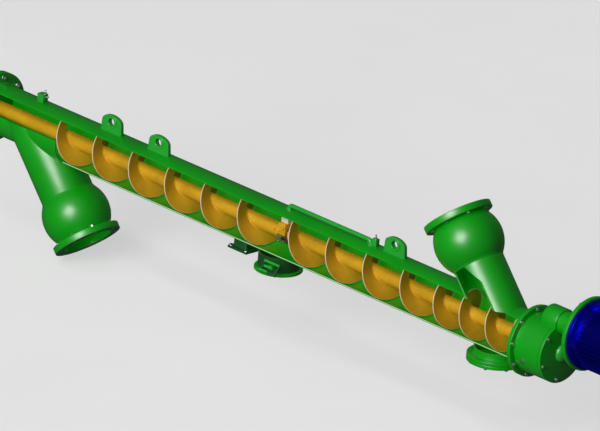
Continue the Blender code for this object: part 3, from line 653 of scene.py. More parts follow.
def dress(piece, material, body="housing", nodes=(), smooth=35.0):
    mesh = piece.data
    mesh.materials.clear()
    mesh.materials.append(material)
    mesh.shade_smooth()
    mesh.set_sharp_from_angle(angle=math.radians(smooth))
    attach(piece, body)
    if nodes:
        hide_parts(*nodes)
    return piece


def ready(name, builder, material, body="housing", nodes=(), smooth=35.0):
    """A builder that is already in its place becomes a piece."""
    return dress(raw_object(name, builder, Matrix.Identity(4)), material, body, nodes, smooth)


def append(builder, other, matrix):
    """Add a second builder's mesh to the first, set in place."""
    other.transform(matrix)
    mesh = bpy.data.meshes.new("part")
    other.to_mesh(mesh)
    other.free()
    builder.from_mesh(mesh)
    bpy.data.meshes.remove(mesh)


def sweep(builder, points, radius, ripple=0.0, sides=8):
    """A rod or weld bead along points measured from the tube's drive end."""
    points = [TUBE + Vector(point) for point in points]
    turn = 2 * math.pi / sides
    rings = []
    normal = None
    for index, point in enumerate(points):
        before = points[max(index - 1, 0)]
        after = points[min(index + 1, len(points) - 1)]
        tangent = (after - before).normalized()
        if normal is None:
            normal = tangent.orthogonal().normalized()
        normal = (normal - tangent * normal.dot(tangent)).normalized()
        other = tangent.cross(normal)
        size = radius * (1.0 + ripple * math.sin(2.1 * index))
        spots = [point + size * (math.cos(turn * step) * normal + math.sin(turn * step) * other)
                 for step in range(sides)]
        rings.append([builder.verts.new(spot) for spot in spots])
    builder.faces.new(rings[0])
    builder.faces.new(rings[-1])
    for first, second in zip(rings, rings[1:]):
        join_rings(builder, first, second)


def bead(name, points, radius, material=green, body="housing", sides=8):
    """Weld bead with a slight ripple."""
    builder = bmesh.new()
    sweep(builder, points, radius, 0.16, sides)
    return ready(name, builder, material, body, smooth=60.0)


# Fasteners


def add_bolt(builder, origin, axis, size, turn=0.0, stub=0.0):
    """Washer, chamfered hexagon and, on a nut, the thread's end, standing on a surface point."""
    washer = BOLT_WASHER_T * size
    washer_edge = (BOLT_WASHER_R - 0.06) * size
    height = washer + BOLT_HEAD_T * size
    corner = BOLT_ACROSS_FLATS * size / math.sqrt(3.0)
    parts = [([(0.0, 0.0), (0.0, washer_edge), (washer / 2, BOLT_WASHER_R * size), (washer, washer_edge),
               (washer, 0.0)], 24),
             ([(washer, 0.0), (washer, corner), (height - 0.10 * size, corner),
               (height, corner - 0.15 * size), (height, 0.0)], 6)]
    if stub > 0.0:
        end = height + stub
        parts.append(([(washer, 0.0), (washer, size / 2), (end - 0.12 * size, size / 2),
                       (end, 0.38 * size), (end, 0.0)], 20))
    matrix = facing(origin, axis) @ Matrix.Rotation(turn, 4, "Z")
    for profile, sides in parts:
        append(builder, turned(profile, sides), matrix)


def circle_spots(centre, axis, radius, count, start=0.0):
    """Points round a circle about an axis in the tube's middle plane."""
    side = axis.cross(Y).normalized()
    top = axis.cross(side)
    spots = []
    for index in range(count):
        angle = start + 2 * math.pi * index / count
        spots.append(Vector(centre) + radius * (math.cos(angle) * side + math.sin(angle) * top))
    return spots


def bolts(name, spots, axis, size, stub=0.0):
    """One piece that holds a set of like bolts."""
    chance = random.Random(name)
    builder = bmesh.new()
    for spot in spots:
        add_bolt(builder, spot, axis, size, chance.uniform(0.0, math.pi / 3), stub)
    return ready(name, builder, zinc, smooth=25.0)


def fillet_weld(name, height, radius, toward, size, matrix=TUBE_AXIS, seat=None):
    """Triangular weld with a slightly hollow face between a pipe and a plate or ball."""
    top = height if seat is None else seat
    root = radius + 0.0002
    profile = [(height, root), (top, radius + size),
               (height + toward * 0.35 * size, radius + 0.38 * size), (height + toward * size, root)]
    solid(name, turned(profile), green, matrix, smooth=60.0)


# Tube and its ends


def build_tube():
    left = -TUBE_LENGTH + WINDOW_MARGIN
    right = -WINDOW_MARGIN
    outline = [(left, WINDOW_STEP_Z), (WINDOW_STEP_X, WINDOW_STEP_Z), (WINDOW_STEP_X, -TUBE_R),
               (right, -TUBE_R), (right, TUBE_R), (left, TUBE_R)]
    hole = INLET_BRANCH_R - BRANCH_WALL - SHELL_LIP
    changes = [cut(plate(outline, TUBE_R), at_point(0.0, -WINDOW_Y - TUBE_R / 2, 0.0)),
               cut(rod(0.0, REACH, hole, MID_ROUND), facing(INLET_FOOT, -DOWN)),
               cut(rod(0.0, REACH, hole, MID_ROUND), facing(OUTLET_FOOT, DOWN))]
    shell = ring(-TUBE_LENGTH, 0.0, TUBE_R, TUBE_R - TUBE_WALL, ROUND, SAWN_EDGE)
    tube = solid("tube_shell", shell, tube_green, TUBE_AXIS, changes, ["housing_tube"])
    tube.visible_diffuse = False


def tail_housing():
    """Bearing housing with a narrower neck that carries its cap."""
    shoulder = TAIL_OUTER + 0.4 * TAIL_HOUSING_LENGTH
    bore = JOURNAL_R + RUNNING_GAP
    profile = [(TAIL_OUTER, bore)]
    profile += round_corner(TAIL_OUTER, TAIL_CAP_R + 0.008, 1, -1, 0.003)[::-1]
    profile += [(shoulder - 0.004, TAIL_CAP_R + 0.010), (shoulder, TAIL_CAP_R + 0.012),
                (shoulder + 0.009, TAIL_HOUSING_R - 0.004), (shoulder + 0.014, TAIL_HOUSING_R),
                (TAIL_INNER, TAIL_HOUSING_R), (TAIL_INNER, bore)]
    return turned(profile)


def build_ends():
    inner = TUBE_R + GAP
    nut_face = -TUBE_LENGTH + FLANGE_T
    cap_start = TAIL_OUTER - GAP - TAIL_CAP_T
    cap = rod(cap_start, TAIL_OUTER - GAP, TAIL_CAP_R, MID_ROUND, 0.004)
    pieces = (
        ("drive_flange_plate", ring(-FLANGE_T, 0.0, FLANGE_R, inner), "drive_end_flange"),
        ("discharge_flange_plate", ring(-TUBE_LENGTH, nut_face, FLANGE_R, inner), "discharge_end_flange"),
        ("discharge_cover_plate", ring(PLATE_INNER, PLATE_OUTER, FLANGE_R, END_PLATE_HOLE_R),
         "discharge_end_plate"),
        ("tail_bearing_housing", tail_housing(), "discharge_bearing_housing"),
        ("tail_bearing_cap", cap, "discharge_bearing_cap"),
    )
    for name, builder, node in pieces:
        solid(name, builder, green, TUBE_AXIS, nodes=[node])
    bolts("tail_cap_screws", circle_spots((cap_start, 0, 0), -X, 0.046, 6), -X, 0.008)
    circles = (("drive_flange_bolts", 0.0, 0.179, 9, DRIVE_BOLT_START, X, 0.011, 0.0),
               ("drive_flange_nuts", -FLANGE_T, 0.172, 9, DRIVE_BOLT_START, -X, 0.011, 0.005),
               ("discharge_plate_bolts", PLATE_INNER, 0.165, 8, END_BOLT_START, -X, 0.014, 0.006),
               ("discharge_flange_nuts", nut_face, 0.165, 8, END_BOLT_START, X, 0.014, 0.006))
    for name, face, radius, count, start, axis, size, stub in circles:
        bolts(name, circle_spots((face, 0.0, 0.0), X, radius, count, start), axis, size, stub)
    fillet_weld("drive_flange_weld", -FLANGE_T, TUBE_R, -1, 0.007)
    fillet_weld("discharge_flange_weld", nut_face, TUBE_R, 1, 0.007)


# Screw


def helix(flight, radius, offset, step, steps):
    """Point on a flight after a share of its turns."""
    front, pitch, first_turn, last_turn = flight
    turn = first_turn + (last_turn - first_turn) * step / steps
    angle = 2 * math.pi * turn
    return Vector((front + pitch * turn + offset, -radius * math.cos(angle), -radius * math.sin(angle)))


def flight_plate(flight):
    """Right-hand helicoid plate with a rounded rim."""
    steps = math.ceil((flight[3] - flight[2]) * 96)
    half = FLIGHT_T / 2
    soft = 0.0012
    root = SHAFT_R + GAP
    middle = (SHAFT_R + FLIGHT_R) / 2
    section = [(root, -half), (middle, -half), (FLIGHT_R - soft, -half), (FLIGHT_R, -half + soft),
               (FLIGHT_R, half - soft), (FLIGHT_R - soft, half), (middle, half), (root, half)]
    builder = bmesh.new()
    rows = []
    for step in range(steps + 1):
        spots = [TUBE + helix(flight, radius, offset, step, steps) for radius, offset in section]
        rows.append([builder.verts.new(spot) for spot in spots])
    for first, second in zip(rows, rows[1:]):
        join_rings(builder, first, second)
    builder.faces.new(rows[0])
    builder.faces.new(rows[-1])
    return builder


def root_weld(flight, offset):
    """Points of the weld along a flight's root."""
    steps = math.ceil((flight[3] - flight[2]) * 72)
    return [helix(flight, SHAFT_R + 0.0008, offset, step, steps) for step in range(1, steps)]


def build_screw():
    left = HANGER_X - HANGER_WIDTH / 2 - HANGER_SHAFT_GAP
    right = HANGER_X + HANGER_WIDTH / 2 + HANGER_SHAFT_GAP
    rods = (("discharge_shaft_tube", SHAFT_LEFT, left, SHAFT_R, gold, "discharge_shaft"),
            ("feed_shaft_tube", right, SHAFT_RIGHT, SHAFT_R, gold, "feed_shaft"),
            ("hanger_journal_pin", left + GAP, right - GAP, JOURNAL_R, steel, "hanger_journal"),
            ("tail_journal_pin", TAIL_OUTER + 0.004, SHAFT_LEFT - GAP, JOURNAL_R, steel, "tail_journal"),
            ("drive_journal_pin", SHAFT_RIGHT + GAP, DRIVE_JOURNAL_END, JOURNAL_R, steel, "drive_journal"))
    for name, start, end, radius, material, node in rods:
        builder = rod(start, end, radius, MID_ROUND, 0.0015)
        solid(name, builder, material, TUBE_AXIS, nodes=[node], body="screw")
    for name, flight in (("discharge", DISCHARGE_FLIGHT), ("middle", MIDDLE_FLIGHT), ("feed", FEED_FLIGHT)):
        ready(name + "_flight_plate", flight_plate(flight), gold, "screw", [name + "_flights"], 40.0)
        for side, offset in (("left", -FLIGHT_T / 2), ("right", FLIGHT_T / 2)):
            bead("%s_flight_weld_%s" % (name, side), root_weld(flight, offset), 0.0036, gold, "screw", 6)
    # Screws that hold each shaft tube on the journal in the hanger
    builder = bmesh.new()
    for x in (left - COUPLING_BOLT_INSET, right + COUPLING_BOLT_INSET):
        for turn in COUPLING_BOLT_TURNS:
            axis = Vector((0.0, math.sin(turn), math.cos(turn)))
            add_bolt(builder, X * x + axis * (SHAFT_R - 0.001), axis, 0.009)
    ready("coupling_bolts", builder, gold, "screw", smooth=25.0)


# Hanger bearing


def build_hanger():
    outside = ring(-TUBE_R, TUBE_R, 2 * TUBE_R, TUBE_R - TUBE_WALL - GAP, ROUND, 0.0)
    at = facing((HANGER_X, 0, 0), X)
    foot = HANGER_BLOCK_TOP + GAP
    solid("hanger_post_casting", block(POST_WIDTH, POST_DEPTH, TUBE_R - foot), post_iron,
          at_point(HANGER_X, 0.0, (TUBE_R + foot) / 2), [cut(outside, at)], ["hanger_post"], bevel=0.003)
    bore = JOURNAL_R + RUNNING_GAP
    solid("hanger_upper_half", block(HANGER_WIDTH, HANGER_BLOCK_DEPTH, HANGER_BLOCK_TOP), gold,
          at_point(HANGER_X, 0.0, HANGER_BLOCK_TOP / 2),
          [cut(rod(-TUBE_R, TUBE_R, bore, MID_ROUND, 0.0), at)], ["hanger_bearing"], bevel=0.003)
    above = block(2 * TUBE_R, 2 * TUBE_R, 2 * TUBE_R)
    solid("hanger_lower_half", ring(-HANGER_WIDTH / 2, HANGER_WIDTH / 2, HANGER_R, bore, MID_ROUND, 0.003),
          bearing_iron, at, [cut(above, at_point(HANGER_X, 0.0, TUBE_R - GAP))], ["hanger_bearing_cap"])
    lips = bmesh.new()
    nuts = bmesh.new()
    for side in (-1, 1):
        append(lips, block(HANGER_WIDTH - 0.004, 0.022, 0.012), at_point(HANGER_X, side * 0.0440, -0.0065))
        for x in (-0.014, 0.014):
            add_bolt(nuts, (HANGER_X + x, side * 0.0425, -0.034), -Z, 0.009, 0.3, 0.004)
    ready("hanger_lower_lips", lips, bearing_iron)
    ready("hanger_cap_nuts", nuts, zinc, smooth=25.0)
    # Bolts and plug on the bearing's front, as the cut-away shows them
    front = -HANGER_BLOCK_DEPTH / 2
    heads = bmesh.new()
    add_bolt(heads, (HANGER_X + 0.012, front, 0.042), -Y, 0.012, 0.2)
    add_bolt(heads, (HANGER_X - 0.015, front, 0.021), -Y, 0.007, 0.1)
    ready("hanger_front_bolts", heads, gold, smooth=25.0)
    solid("hanger_cap_plug", turned(BEARING_PLUG, 32), rubber,
          facing((HANGER_X + 0.018, front - 0.004, -0.013), -Y))


# Spouts


def ball_shell(hole_radius):
    """Hollow ball, from its pipe hole to the flange's back."""
    top = BALL_TO_FACE - SPOUT_FLANGE_T - GAP
    profile = []
    for radius, steps, inward in ((BALL_R, 56, True), (BALL_R - BALL_WALL, 40, False)):
        low = math.pi - math.asin(hole_radius / radius)
        high = math.acos(top / radius)
        start, end = (low, high) if inward else (high, low)
        for step in range(steps + 1):
            angle = start + (end - start) * step / steps
            profile.append((radius * math.cos(angle), radius * math.sin(angle)))
    return turned(profile)


def build_spout_end(label, centre, outward, branch_radius):
    at = facing(centre, outward, SIDE)
    solid(label + "_ball_shell", ball_shell(branch_radius + GAP), green, at, nodes=[label + "_ball"])
    back = BALL_TO_FACE - SPOUT_FLANGE_T
    mouth = round_corner(BALL_TO_FACE, SPOUT_BORE_R, -1, 1, SPOUT_EDGE)[::-1]
    profile = [(back, SPOUT_BORE_R)] + outer_side(back, BALL_TO_FACE, SPOUT_FLANGE_R, SPOUT_EDGE) + mouth
    first_bolt = math.pi * (1 + 1 / SPOUT_BOLTS)
    spots = circle_spots(centre, -DOWN, SPOUT_BOLT_CIRCLE, SPOUT_BOLTS, first_bolt)
    holes = [cut(rod(0.0, 0.300, SPOUT_BOLT_HOLE_R, 24, 0.0), facing(spot, outward)) for spot in spots]
    solid(label + "_flange_ring", turned(profile), green, at, holes, [label + "_flange"])
    bolts(label + "_flange_bolts", [spot + outward * back for spot in spots], -outward, 0.011)
    foot, seat = [-math.sqrt(BALL_R ** 2 - radius ** 2) - GAP
                  for radius in (branch_radius, branch_radius + SPOUT_WELD)]
    fillet_weld(label + "_ball_weld", foot, branch_radius, -1, SPOUT_WELD, facing(centre, outward), seat)


def build_branches():
    reach = 2 * REACH
    inlet = ring(-0.200, INLET_REACH - BRANCH_INSERTION, INLET_BRANCH_R, INLET_BRANCH_R - BRANCH_WALL, ROUND,
                 SAWN_EDGE)
    below = block(reach, reach, reach)
    foot = block(reach, reach, reach)
    solid("inlet_branch_pipe", inlet, branch_green, facing(INLET_FOOT, -DOWN, SIDE),
          [cut_to_tube(INLET_FOOT.x),
           cut(below, at_point(INLET_FOOT.x, 0.0, -reach / 2)),
           cut(foot, at_point(INLET_FOOT.x, -WINDOW_Y - reach / 2, INLET_FOOT_CUT - reach / 2)),
           cut(plate(INLET_CUT, REACH), at_point(0.0, -INLET_CUT_Y - REACH / 2, 0.0))], ["inlet_branch"])
    outlet = ring(-0.250, OUTLET_REACH - BRANCH_INSERTION, OUTLET_BRANCH_R, TUBE_R + GAP, ROUND, SAWN_EDGE)
    above = block(reach, reach, reach)
    solid("outlet_branch_pipe", outlet, green, facing(OUTLET_FOOT, DOWN, SIDE),
          [cut_to_tube(OUTLET_FOOT.x),
           cut(above, at_point(OUTLET_FOOT.x, 0.0, WINDOW_STEP_Z + reach / 2))], ["outlet_branch"])


# Fittings on the tube


def build_lugs():
    rise = LUG_TOP - LUG_EYE_Z
    outline = [(-LUG_FOOT, LUG_BASE), (LUG_FOOT, LUG_BASE)]
    steps = 40
    for step in range(steps + 1):
        angle = math.pi * step / steps
        outline.append((LUG_HEAD_R * math.cos(angle), LUG_EYE_Z + rise * math.sin(angle)))
    flat = LUG_EYE_HALF - LUG_EYE_CHAMFER
    outer = LUG_EYE_R - LUG_EYE_CHAMFER
    inner = LUG_EYE_BORE_R + LUG_EYE_CHAMFER
    section = [(-LUG_EYE_HALF, inner), (-LUG_EYE_HALF, outer), (-flat, LUG_EYE_R), (flat, LUG_EYE_R),
               (LUG_EYE_HALF, outer), (LUG_EYE_HALF, inner), (flat, LUG_EYE_BORE_R), (-flat, LUG_EYE_BORE_R)]
    for number, x in enumerate(LUG_X, start=1):
        eye = facing((x, 0.0, LUG_EYE_Z), Y)
        name = "lifting_lug_%d" % number
        hole = rod(-REACH, REACH, LUG_HOLE_R, SMALL_ROUND, 0.0)
        # Plate, eye and welds take the lit green: painted highlight
        solid(name + "_plate", plate(outline, LUG_T), lit_green, at_point(x, 0.0, 0.0),
              [cut_to_tube(x), cut(hole, eye)], [name], bevel=0.0015)
        solid(name + "_eye", turned(section, SMALL_ROUND), lit_green, eye)
        # Weld along both sides of the foot
        for side, label in ((-1, "front"), (1, "back")):
            y = side * (LUG_T / 2 + 0.0005)
            z = math.sqrt(TUBE_R ** 2 - y * y) + STANDOFF
            points = [(x + LUG_WELD * (step / 22 - 1), y, z) for step in range(45)]
            bead("%s_weld_%s" % (name, label), points, 0.0042, lit_green)


def pipe_route():
    """Up out of the tube at the hanger, level along it, and down to it again."""
    bend = round_corner(GREASE_PIPE_Z, 0.0, -1, 1, GREASE_PIPE_BEND, 8)
    start = HANGER_X + GREASE_PIPE_BEND
    run = GREASE_PIPE_END - GREASE_PIPE_BEND - start
    points = [(HANGER_X, TUBE_R + STANDOFF)] + [(HANGER_X + x, z) for z, x in bend]
    points += [(start + run * step / 24, GREASE_PIPE_Z) for step in range(1, 24)]
    points += [(GREASE_PIPE_END - x, z) for z, x in reversed(bend)] + [(GREASE_PIPE_END, TUBE_R + STANDOFF)]
    return [(x, 0.0, z) for x, z in points]


def build_grease_line():
    for number, (x, length, width, top) in enumerate(GREASE_BLOCKS, start=1):
        height = top - GREASE_BLOCK_BASE
        name = "grease_block_%d" % number
        # Blocks, pipe and nuts take the lit green: painted highlight
        solid(name + "_body", block(length, width, height), lit_green,
              at_point(x, 0.0, GREASE_BLOCK_BASE + height / 2), [cut_to_tube(x)], [name], bevel=0.002)
    pipe = bmesh.new()
    sweep(pipe, pipe_route(), GREASE_PIPE_R, sides=24)
    ready("grease_pipe_run", pipe, lit_green, nodes=["grease_pipe"], smooth=60.0)
    (first_x, _, _, first_top), (second_x, _, _, second_top) = GREASE_BLOCKS
    nipples = bmesh.new()
    for spot, axis in (((first_x + 0.010, 0.008, first_top - 0.0005), Z),
                       ((first_x + 0.0225, 0.0, first_top - 0.014), X + 0.3 * Z),
                       ((second_x, 0.0, second_top - 0.0005), Z)):
        append(nipples, turned(NIPPLE, 24), facing(spot, axis))
    ready("grease_nipples", nipples, zinc, smooth=40.0)
    nuts = bmesh.new()
    for x in (HANGER_X, GREASE_PIPE_END):
        append(nuts, turned(PIPE_NUT, 6), facing((x, 0.0, TUBE_R)))
    ready("grease_pipe_nuts", nuts, lit_green, smooth=25.0)


def hatch_neck(name, x, radius, bottom, foot, node, material):
    """Neck under the tube; foot is its outline from its lower end to the pipe."""
    inner = radius - BRANCH_WALL
    profile = [(bottom, inner)] + foot + [(HATCH_TOP, radius), (HATCH_TOP, inner)]
    # In front, the neck ends level with the window's lower edge
    in_front = at_point(x, -WINDOW_Y - REACH / 2, HATCH_FRONT_TOP + REACH / 2)
    solid(name, turned(profile), material, facing((x, 0, 0)),
          [cut_to_tube(x), cut(block(REACH, REACH, REACH), in_front)], [node])


def build_hatches():
    # The middle hatch's neck takes the shaded green: painted shade under the tube
    hatch_neck("mid_hatch_neck", MID_HATCH_X, MID_COLLAR_R, MID_COVER_TOP, [(MID_COVER_TOP, MID_COLLAR_R)],
               "mid_hatch_collar", shaded_green)
    top = MID_COVER_TOP - GAP
    solid("mid_hatch_lid", rod(top - MID_COVER_T, top, MID_COVER_R, ROUND, 0.004), green,
          facing((MID_HATCH_X, 0, 0)), nodes=["mid_hatch_cover"])
    bottom = FEED_RIM_TOP - FEED_RIM_T
    foot = outer_side(bottom, FEED_RIM_TOP, FEED_COVER_R, 0.002)
    foot += [(FEED_RIM_TOP, FEED_COLLAR_R + 0.004), (FEED_RIM_TOP + 0.004, FEED_COLLAR_R)]
    hatch_neck("feed_hatch_neck", FEED_HATCH_X, FEED_COLLAR_R, bottom, foot, "feed_hatch_spout", green)
    top = bottom - GAP
    solid("feed_hatch_lid", rod(top - FEED_COVER_T, top, FEED_COVER_R, ROUND, 0.003), green,
          facing((FEED_HATCH_X, 0, 0)), nodes=["feed_hatch_cover"])
    spots = circle_spots((FEED_HATCH_X, 0.0, top - FEED_COVER_T), Z, 0.139, 8, math.radians(112.5))
    bolts("feed_hatch_bolts", spots, -Z, 0.010)


def build_latch():
    """Slotted clamp plate on the front of the middle hatch, with its arm to the neck; its dark paint is
    painted shade and its pale strips are painted highlight.
    """
    normal = Vector((0.0, -math.cos(LATCH_TILT), math.sin(LATCH_TILT)))
    along = normal.cross(X)
    slot_width = (LATCH_WIDTH - 3 * LATCH_BAR) / 2
    slots = []
    for side in (-1, 1):
        spot = LATCH + along * side * (LATCH_BAR + slot_width) / 2
        slots.append(cut(block(LATCH_SLOT, slot_width, 3 * LATCH_T), facing(spot, normal, along)))
    clamp = block(LATCH_LENGTH, LATCH_WIDTH, LATCH_T)
    solid("mid_hatch_clamp", clamp, shaded_green, facing(LATCH, normal, along), slots, ["mid_hatch_latch"],
          bevel=0.0015)
    # Thin pale strips on the bars: painted highlight
    highlight_strips = bmesh.new()
    face = LATCH + normal * (LATCH_T + LATCH_HIGHLIGHT_T) / 2
    for offset, start, length in LATCH_HIGHLIGHT_STRIPS:
        spot = face + along * offset * (LATCH_BAR + slot_width) + X * (start + (length - LATCH_LENGTH) / 2)
        append(highlight_strips, block(length, LATCH_BAR - 0.003, LATCH_HIGHLIGHT_T), facing(spot, normal, along))
    ready("mid_hatch_clamp_highlight_strips", highlight_strips, lit_green)
    arm_end = math.sqrt(MID_COLLAR_R ** 2 - (LATCH.x - MID_HATCH_X) ** 2) - 0.010
    arm_length = -LATCH.y - arm_end
    solid("mid_hatch_clamp_arm", block(LATCH_ARM, arm_length, 0.024), green,
          at_point(LATCH.x, LATCH.y + arm_length / 2, LATCH.z),
          [cut(rod(-REACH, REACH, MID_COLLAR_R + GAP, ROUND, 0.0), facing((MID_HATCH_X, 0, 0)))], bevel=0.002)


def build_bracket():
    web_height = BRACKET_WEB_TOP - BRACKET_Z - GAP
    web_place = at_point(BRACKET_X, 0.0, BRACKET_WEB_TOP - web_height / 2)
    # The bracket under the tube takes the shaded green: painted shade
    solid("support_bracket", block(BRACKET_LENGTH, BRACKET_WIDTH, BRACKET_T), shaded_green,
          at_point(BRACKET_X, 0.0, BRACKET_Z + BRACKET_T / 2),
          [("UNION", block(*BRACKET_WEB, web_height), web_place), cut_to_tube(BRACKET_X)],
          ["underside_bracket"], bevel=0.0015)
    along, across = BRACKET_BOLTS
    spots = [(BRACKET_X + x, y, BRACKET_Z + BRACKET_T) for y in (-across, across) for x in (-along, along)]
    bolts("support_bracket_bolts", spots, Z, 0.011)


# Drive


def build_gearbox():
    seat = JOURNAL_R + RUNNING_GAP
    drum = [(GEARBOX_SEAT_DEPTH, 0.0), (GEARBOX_SEAT_DEPTH, seat), (GAP, seat), (GAP, GEARBOX_R - 0.002),
            (0.002, GEARBOX_R), (GEARBOX_LENGTH - 0.001, GEARBOX_R), (GEARBOX_LENGTH, GEARBOX_R - 0.001),
            (GEARBOX_LENGTH, 0.0)]
    solid("gear_drum", turned(drum), green, TUBE_AXIS, nodes=["gearbox_housing"])
    solid("gear_cover", rod(GEARBOX_LENGTH + GAP, GEARBOX_END, GEARBOX_R, ROUND, 0.0025), green, TUBE_AXIS,
          nodes=["gearbox_end_cover"])
    base = GEARBOX_END + GAP
    dome = [(base, 0.0)]
    for step in range(12):
        angle = math.pi / 2 * step / 12
        dome.append((base + DOME_HEIGHT * math.sin(angle), DOME_R * math.cos(angle)))
    dome.append((base + DOME_HEIGHT, 0.0))
    # The dome takes the lit green: painted highlight on its side
    solid("gear_cover_dome", turned(dome, SMALL_ROUND), lit_green, TUBE_AXIS, nodes=["gearbox_boss"])
    motor_axis = facing((0.0, 0.0, MOTOR_Z), X)
    solid("gear_input_barrel", rod(INPUT_START, GEARBOX_END, INPUT_R, MID_ROUND, 0.006), green, motor_axis,
          [cut(rod(-REACH, REACH, GEARBOX_R + GAP, ROUND, 0.0))], ["gear_input_housing"])
    end = MOTOR_FLANGE_START - GAP
    neck = [(base, 0.0), (base, ADAPTER_R), (end - 0.012, ADAPTER_R), (end - 0.004, ADAPTER_R + 0.003),
            (end, ADAPTER_R + 0.010), (end, 0.0)]
    solid("gear_motor_neck", turned(neck, MID_ROUND), green, motor_axis, nodes=["motor_adapter"])
    bolts("gear_cover_bolts", circle_spots((GEARBOX_END, 0, 0), X, 0.147, 6, COVER_BOLT_START), X, 0.010)
    spots = circle_spots((MOTOR_FLANGE_START, 0.0, MOTOR_Z), X, 0.178, 8, math.radians(-67.5))
    bolts("motor_flange_nuts", spots, -X, 0.014, 0.005)
    plugs = bmesh.new()
    for x, turn in ((0.060, math.radians(200.0)), (0.110, math.radians(270.0))):
        axis = Vector((0.0, math.cos(turn), math.sin(turn)))
        append(plugs, turned(OIL_PLUG, 6), facing(X * x + axis * (GEARBOX_R - 0.001), axis))
    ready("gear_oil_plugs", plugs, zinc, smooth=25.0)


def fin_outline():
    """Section of the motor body, with thin tapered fins."""
    points = []
    pitch = 2 * math.pi / FINS
    root = 0.16
    tip = 0.10
    top = BODY_R + FIN_HEIGHT
    fin = ((-0.5, BODY_R), (-root, BODY_R), (-tip, top - 0.001), (-tip * 0.7, top), (tip * 0.7, top),
           (tip, top - 0.001), (root, BODY_R))
    for index in range(FINS):
        for offset, radius in fin:
            angle = pitch * (index + 0.5 + offset)
            points.append((radius * math.cos(angle), radius * math.sin(angle)))
    return points


def build_shield(at):
    """Motor's drive-end shield with a cross of ribs."""
    rim_end = SHIELD_START + SHIELD_RIM
    end = SHIELD_START + SHIELD_LENGTH
    profile = [(SHIELD_START, 0.0), (SHIELD_START, SHIELD_R)] + round_corner(rim_end, SHIELD_R, -1, -1, 0.003)
    profile += [(rim_end, SHIELD_HUB_R + 0.006), (rim_end + 0.006, SHIELD_HUB_R)]
    profile += round_corner(end, SHIELD_HUB_R, -1, -1, 0.003) + [(end, 0.0)]
    rib_length = SHIELD_LENGTH - SHIELD_RIM / 2
    span = 2 * (SHIELD_R - SHIELD_RIM / 4)
    spot = at_point(end - rib_length / 2, 0.0, MOTOR_Z)
    ribs = [("UNION", block(rib_length, width, depth), spot)
            for width, depth in ((span, SHIELD_RIB), (SHIELD_RIB, span))]
    # The shield takes the brighter blue: painted highlight
    solid("motor_drive_shield", turned(profile), shield_highlight_blue, at, ribs, ["motor_front_shield"])


def build_cowl(at):
    """Fan cowl with rings of slots in its end, and the fan behind them."""
    end = COWL_START + COWL_LENGTH
    profile = [(COWL_START, COWL_R - COWL_WALL), (COWL_START, COWL_R)]
    profile += round_corner(end, COWL_R, -1, -1, COWL_EDGE, 6)
    profile += [(end, 0.0), (end - COWL_WALL, 0.0), (end - COWL_WALL, COWL_R - COWL_EDGE - COWL_WALL),
                (end - COWL_EDGE, COWL_R - COWL_WALL)]
    slots = bmesh.new()
    for radius, count in COWL_SLOT_RINGS:
        for index in range(count):
            angle = 2 * math.pi * index / count
            spot = (end - 0.030, radius * math.cos(angle), MOTOR_Z + radius * math.sin(angle))
            append(slots, block(0.010, 0.018, 0.080), facing(spot, X) @ Matrix.Rotation(angle, 4, "Z"))
    solid("motor_cowl", turned(profile), blue, at, [cut(slots, Matrix.Identity(4))], ["motor_fan_cowl"])
    fan = bmesh.new()
    append(fan, rod(COWL_START + 0.040, COWL_START + 0.070, 0.040, 48), at)
    for index in range(FAN_BLADES):
        spin = Matrix.Rotation(2 * math.pi * index / FAN_BLADES, 4, "Z")
        outward = Matrix.Translation((0.085, 0.0, COWL_START + 0.060))
        append(fan, block(0.120, 0.004, 0.050), at @ spin @ outward)
    ready("motor_fan", fan, rubber, smooth=30.0)


def build_terminal_box():
    length, width, height = BOX_SIZE
    top = BOX_BASE + height
    solid("terminal_box", block(length, width, height), blue, at_point(BOX_X, 0.0, BOX_BASE + height / 2),
          nodes=["motor_terminal_box"], bevel=0.006)
    solid("terminal_box_lid", block(length + LID_T, width + LID_T, LID_T), blue,
          at_point(BOX_X, 0.0, top + LID_T / 2), bevel=0.0025)
    inset = 0.012
    spots = [(BOX_X + x * (length / 2 - inset), y * (width / 2 - inset), top + LID_T)
             for x in (-1, 1) for y in (-1, 1)]
    bolts("terminal_lid_screws", spots, Z, 0.006)
    solid("terminal_gland", turned(GLAND, 6), rubber,
          facing((BOX_X + length / 2 - 0.0005, 0.0, BOX_BASE + 0.035), X))


def build_motor():
    at = facing((0.0, 0.0, MOTOR_Z), X)
    flange = rod(MOTOR_FLANGE_START, MOTOR_FLANGE_START + MOTOR_FLANGE_T, MOTOR_FLANGE_R, ROUND, 0.0025)
    solid("motor_mount_flange", flange, green, at, nodes=["motor_flange"])
    build_shield(at)
    near = [(x, y, BODY_START) for x, y in fin_outline()]
    far = [(x, y, BODY_START + BODY_LENGTH) for x, y in fin_outline()]
    solid("motor_finned_frame", prism(near, far), blue, at, nodes=["motor_body"], smooth=30.0)
    build_cowl(at)
    build_terminal_box()


build_tube()
build_ends()
build_screw()
build_hanger()
build_branches()
build_spout_end("inlet", INLET_BALL, -DOWN, INLET_BRANCH_R)
build_spout_end("outlet", OUTLET_BALL, DOWN, OUTLET_BRANCH_R)
build_lugs()
build_grease_line()
build_hatches()
build_latch()
build_bracket()
build_gearbox()
build_motor()


# Camera: the photograph's azimuth of 44 and elevation of 20.5 degrees, through a long lens

